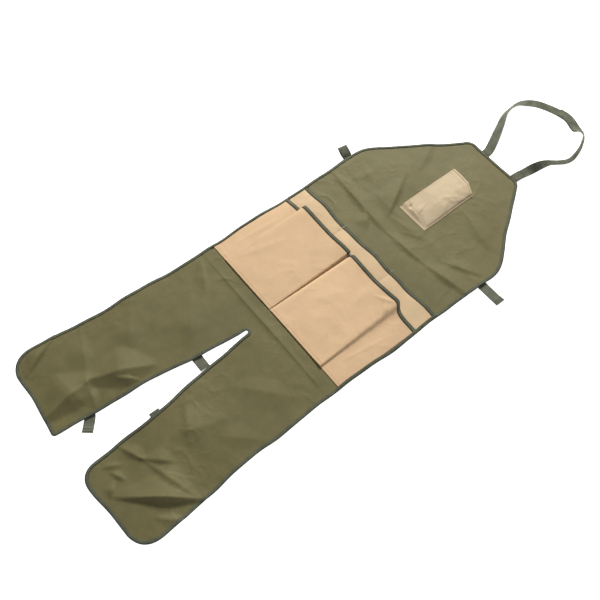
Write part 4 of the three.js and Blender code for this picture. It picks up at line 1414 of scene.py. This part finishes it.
def laid_webbing(name, node, body, centre, doubled=0.0, side=None):
    """Webbing along a line of points, sewn behind an edge at its first point."""
    width, thick = sizes().webbing_width, sizes().webbing_thick
    centre = spaced(centre, 0.003)
    d = unit(np.gradient(centre, axis=0))
    if side is None:
        side = unit(np.cross([0, 0, 1.0], d))
    else:
        side = np.tile(side, (len(centre), 1))
    up = np.cross(d, side)
    strap = ribbon(name, centre, side, up, width, thick, material_of("Webbing"))
    place(strap, body, node)
    if doubled:
        k = max(int(doubled / 0.003), 4)
        c, s, u = centre[-k:], side[-k:], up[-k:]
        pad = ribbon(name + "_doubled_end", c + u * (thick + GAP), s, u, width * 0.985, thick,
                     material_of("Webbing"))
        place(pad, body)
        across = np.linspace(-width / 2 + 0.002, width / 2 - 0.002, 8)
        lines = [np.array([c[j] + u[j] * (thick * 1.5 + 0.0002) + s[j] * a for a in across])
                 for j in (1, k - 2)]
        sewn = stitches(name + "_seam", lines, [np.tile(u[0], (8, 1))] * 2, material_of("Olive thread"),
                        pitch=0.0033, radius=0.0003)
        place(sewn, body)


def straight_webbing(name, node, body, free_side, curl=0.0, doubled=0.0):
    """Webbing that runs level from its sewn end to its free end, which may curl up."""
    low, high = size_of(node)
    sewn_x, free_x = (low[0], high[0]) if free_side > 0 else (high[0], low[0])
    x = np.linspace(sewn_x, free_x, 24)
    t = np.linspace(0, 1, 24)
    z = sizes().webbing_thick / 2 + GAP + curl * np.clip((t - 0.6) / 0.4, 0, 1) ** 2
    centre = np.column_stack([x, np.full(24, (low[1] + high[1]) / 2), z])
    return laid_webbing(name, node, body, centre, doubled)


class APRON_OT_waist_straps(bpy.types.Operator):
    """Sew the waist loop and the waist strap behind the bib edges"""

    bl_idname = "apron.waist_straps"
    bl_label = "Waist straps"

    def execute(self, context):
        low, high = size_of("right_waist_strap")
        turn = math.radians(10)
        reach = 0.040
        far = (reach - HALF_WEB * math.sin(turn)) / math.cos(turn) - sizes().webbing_thick / 2
        # the loop's side view: distance out from the edge, height
        fold = [
            (-0.0195, 0.0006), (0.0, 0.0006), (0.005, 0.0006), (far * 0.36, 0.0012), (far * 0.74, 0.0042),
            (far * 0.94, 0.0080), (far, 0.0110), (far * 0.95, 0.0136), (far * 0.84, 0.0138),
            (far * 0.60, 0.0112), (far * 0.34, 0.0068), (0.0092, 0.0030), (0.0062, 0.0021),
        ]
        line = spline(fold, 90)
        out = np.array([-math.cos(turn), math.sin(turn), 0.0])
        root = np.array([MIDDLE_X - BODY_HALF, (low[1] + high[1]) / 2, 0.0])
        centre = root + out * line[:, :1] + np.array([0, 0, 1.0]) * (line[:, 1:] + GAP)
        across = np.array([-math.sin(turn), -math.cos(turn), 0.0])
        laid_webbing("left_waist_webbing", "left_waist_loop", "left_waist", centre, side=across)
        straight_webbing("right_waist_webbing", "right_waist_strap", "right_waist", 1, curl=0.0010,
                         doubled=0.016)
        return {"FINISHED"}


class APRON_OT_leg_straps(bpy.types.Operator):
    """Sew the thigh, calf and knee straps behind the legs"""

    bl_idname = "apron.leg_straps"
    bl_label = "Leg straps"

    def execute(self, context):
        straight_webbing("left_thigh_webbing", "left_thigh_strap", "left_thigh", 1)
        low, high = size_of("left_calf_strap")
        half, turn = sizes().webbing_width / 2, math.radians(40)
        z = sizes().webbing_thick / 2 + GAP
        end = np.array([high[0] - half * math.sin(turn), low[1] + half * math.cos(turn)])
        level = high[1] - half
        bend = np.array([end[0] - (level - end[1]) / math.tan(turn), level])
        along = unit(end - bend)
        curve = bezier([bend - (0.014, 0), bend, bend + along * 0.014], 12)
        line = np.vstack([[(low[0], level)], curve, [end]])
        lifted = spaced(np.column_stack([line, np.full(len(line), z)]), 0.003)
        s = lengths(lifted)
        lifted[:, 2] += 0.0016 * smooth((s - s[-1] + 0.030) / 0.030)
        laid_webbing("left_calf_webbing", "left_calf_strap", "left_calf", lifted, doubled=0.018)
        straight_webbing("right_knee_webbing", "right_knee_strap", "right_knee", -1, doubled=0.012)
        return {"FINISHED"}


class APRON_OT_stage(bpy.types.Operator):
    """Set the pale floor, the soft lights and the camera"""

    bl_idname = "apron.stage"
    bl_label = "Floor, lights and camera"

    def execute(self, context):
        mesh = bpy.data.meshes.new("floor")
        reach, level = 6.0, -0.0002
        corners = [(x * reach, y * reach, level) for x, y in ((-1, -1), (1, -1), (1, 1), (-1, 1))]
        mesh.from_pydata(corners, [], [(0, 1, 2, 3)])
        floor = bpy.data.objects.new("floor", mesh)
        context.scene.collection.objects.link(floor)
        paint = bpy.data.materials.new("Pale floor")
        paint.use_nodes = True
        shader = paint.node_tree.nodes["Principled BSDF"]
        shader.inputs["Base Color"].default_value = (0.93, 0.93, 0.93, 1)
        shader.inputs["Roughness"].default_value = 0.9
        shader.inputs["Specular IOR Level"].default_value = 0.1
        shader.inputs["Emission Color"].default_value = (1, 1, 1, 1)
        shader.inputs["Emission Strength"].default_value = 0.95
        mesh.materials.append(paint)

        world = bpy.data.worlds.new("Studio air")
        world.use_nodes = True
        world.node_tree.nodes["Background"].inputs["Color"].default_value = (1, 1, 1, 1)
        air = world.node_tree
        seen = air.nodes.new("ShaderNodeLightPath").outputs["Is Camera Ray"]
        # white where the camera looks past the floor, and dim as a light
        dim = 0.21
        glow = maths(air, "ADD", maths(air, "MULTIPLY", seen, 0.79), dim)
        air.links.new(glow, air.nodes["Background"].inputs["Strength"])
        context.scene.world = world

        def lamp(name, size, power, at, aim, colour=(1, 1, 1)):
            data = bpy.data.lights.new(name, "AREA")
            data.shape = "DISK"
            data.size = size
            data.energy = power
            data.color = colour
            light = bpy.data.objects.new(name, data)
            light.location = at
            light.rotation_euler = (Vector(aim) - Vector(at)).to_track_quat("-Z", "Y").to_euler()
            context.scene.collection.objects.link(light)

        lamp("Key light", 1.6, 328, (-3.05, 2.9, 2.8), (0, 0.0, 0), (1.0, 0.99, 0.97))
        lamp("Fill light", 2.6, 8, (1.6, -1.6, 2.2), (0, 0, 0), (0.97, 0.98, 1.0))

        data = bpy.data.cameras.new("View")
        data.lens = 51.0
        data.sensor_width = 36.0
        data.sensor_fit = "HORIZONTAL"
        camera = bpy.data.objects.new("View", data)
        back = Vector((0.4014, -0.3029, 0.8643)).normalized()
        right = Vector((0.6024, 0.7982, 0.0)).normalized()
        right = (right - back * right.dot(back)).normalized()
        up = back.cross(right)
        roll = math.radians(-1.37)
        turned_right = right * math.cos(roll) + up * math.sin(roll)
        turned_up = -right * math.sin(roll) + up * math.cos(roll)
        pose = Matrix.Identity(4)
        for k in range(3):
            pose[k][0] = turned_right[k]
            pose[k][1] = turned_up[k]
            pose[k][2] = back[k]
        pose[0][3], pose[1][3], pose[2][3] = 0.8011, -0.7521, 1.7317
        camera.matrix_world = pose
        context.scene.collection.objects.link(camera)
        context.scene.camera = camera
        context.scene.view_settings.view_transform = "Standard"
        return {"FINISHED"}


class APRON_PT_panel(bpy.types.Panel):
    """Apron pieces, in the order they are made"""

    bl_label = "Artist's apron"
    bl_idname = "APRON_PT_panel"
    bl_space_type = "VIEW_3D"
    bl_region_type = "UI"
    bl_category = "Apron"

    def draw(self, context):
        for group in (context.scene.apron_sizes, context.scene.apron_colours):
            for key in group.__annotations__:
                self.layout.prop(group, key)
        for step in STEPS:
            self.layout.operator(step)


STEPS = (
    "apron.cloths", "apron.canvas", "apron.binding", "apron.rear_pocket", "apron.front_pockets",
    "apron.chest_pocket", "apron.neck_loop", "apron.waist_straps", "apron.leg_straps", "apron.stage",
)

CLASSES = (
    ApronSizes, ApronColours, APRON_OT_cloths, APRON_OT_canvas, APRON_OT_binding, APRON_OT_rear_pocket,
    APRON_OT_front_pockets, APRON_OT_chest_pocket, APRON_OT_neck_loop, APRON_OT_waist_straps,
    APRON_OT_leg_straps, APRON_OT_stage, APRON_PT_panel,
)


def register():
    for item in CLASSES:
        bpy.utils.register_class(item)
    bpy.types.Scene.apron_sizes = bpy.props.PointerProperty(type=ApronSizes)
    bpy.types.Scene.apron_colours = bpy.props.PointerProperty(type=ApronColours)


def unregister():
    del bpy.types.Scene.apron_sizes
    del bpy.types.Scene.apron_colours
    for item in reversed(CLASSES):
        bpy.utils.unregister_class(item)


def main():
    register()
    for step in STEPS:
        family, action = step.split(".")
        getattr(getattr(bpy.ops, family), action)()


if __name__ == "__main__":
    main()
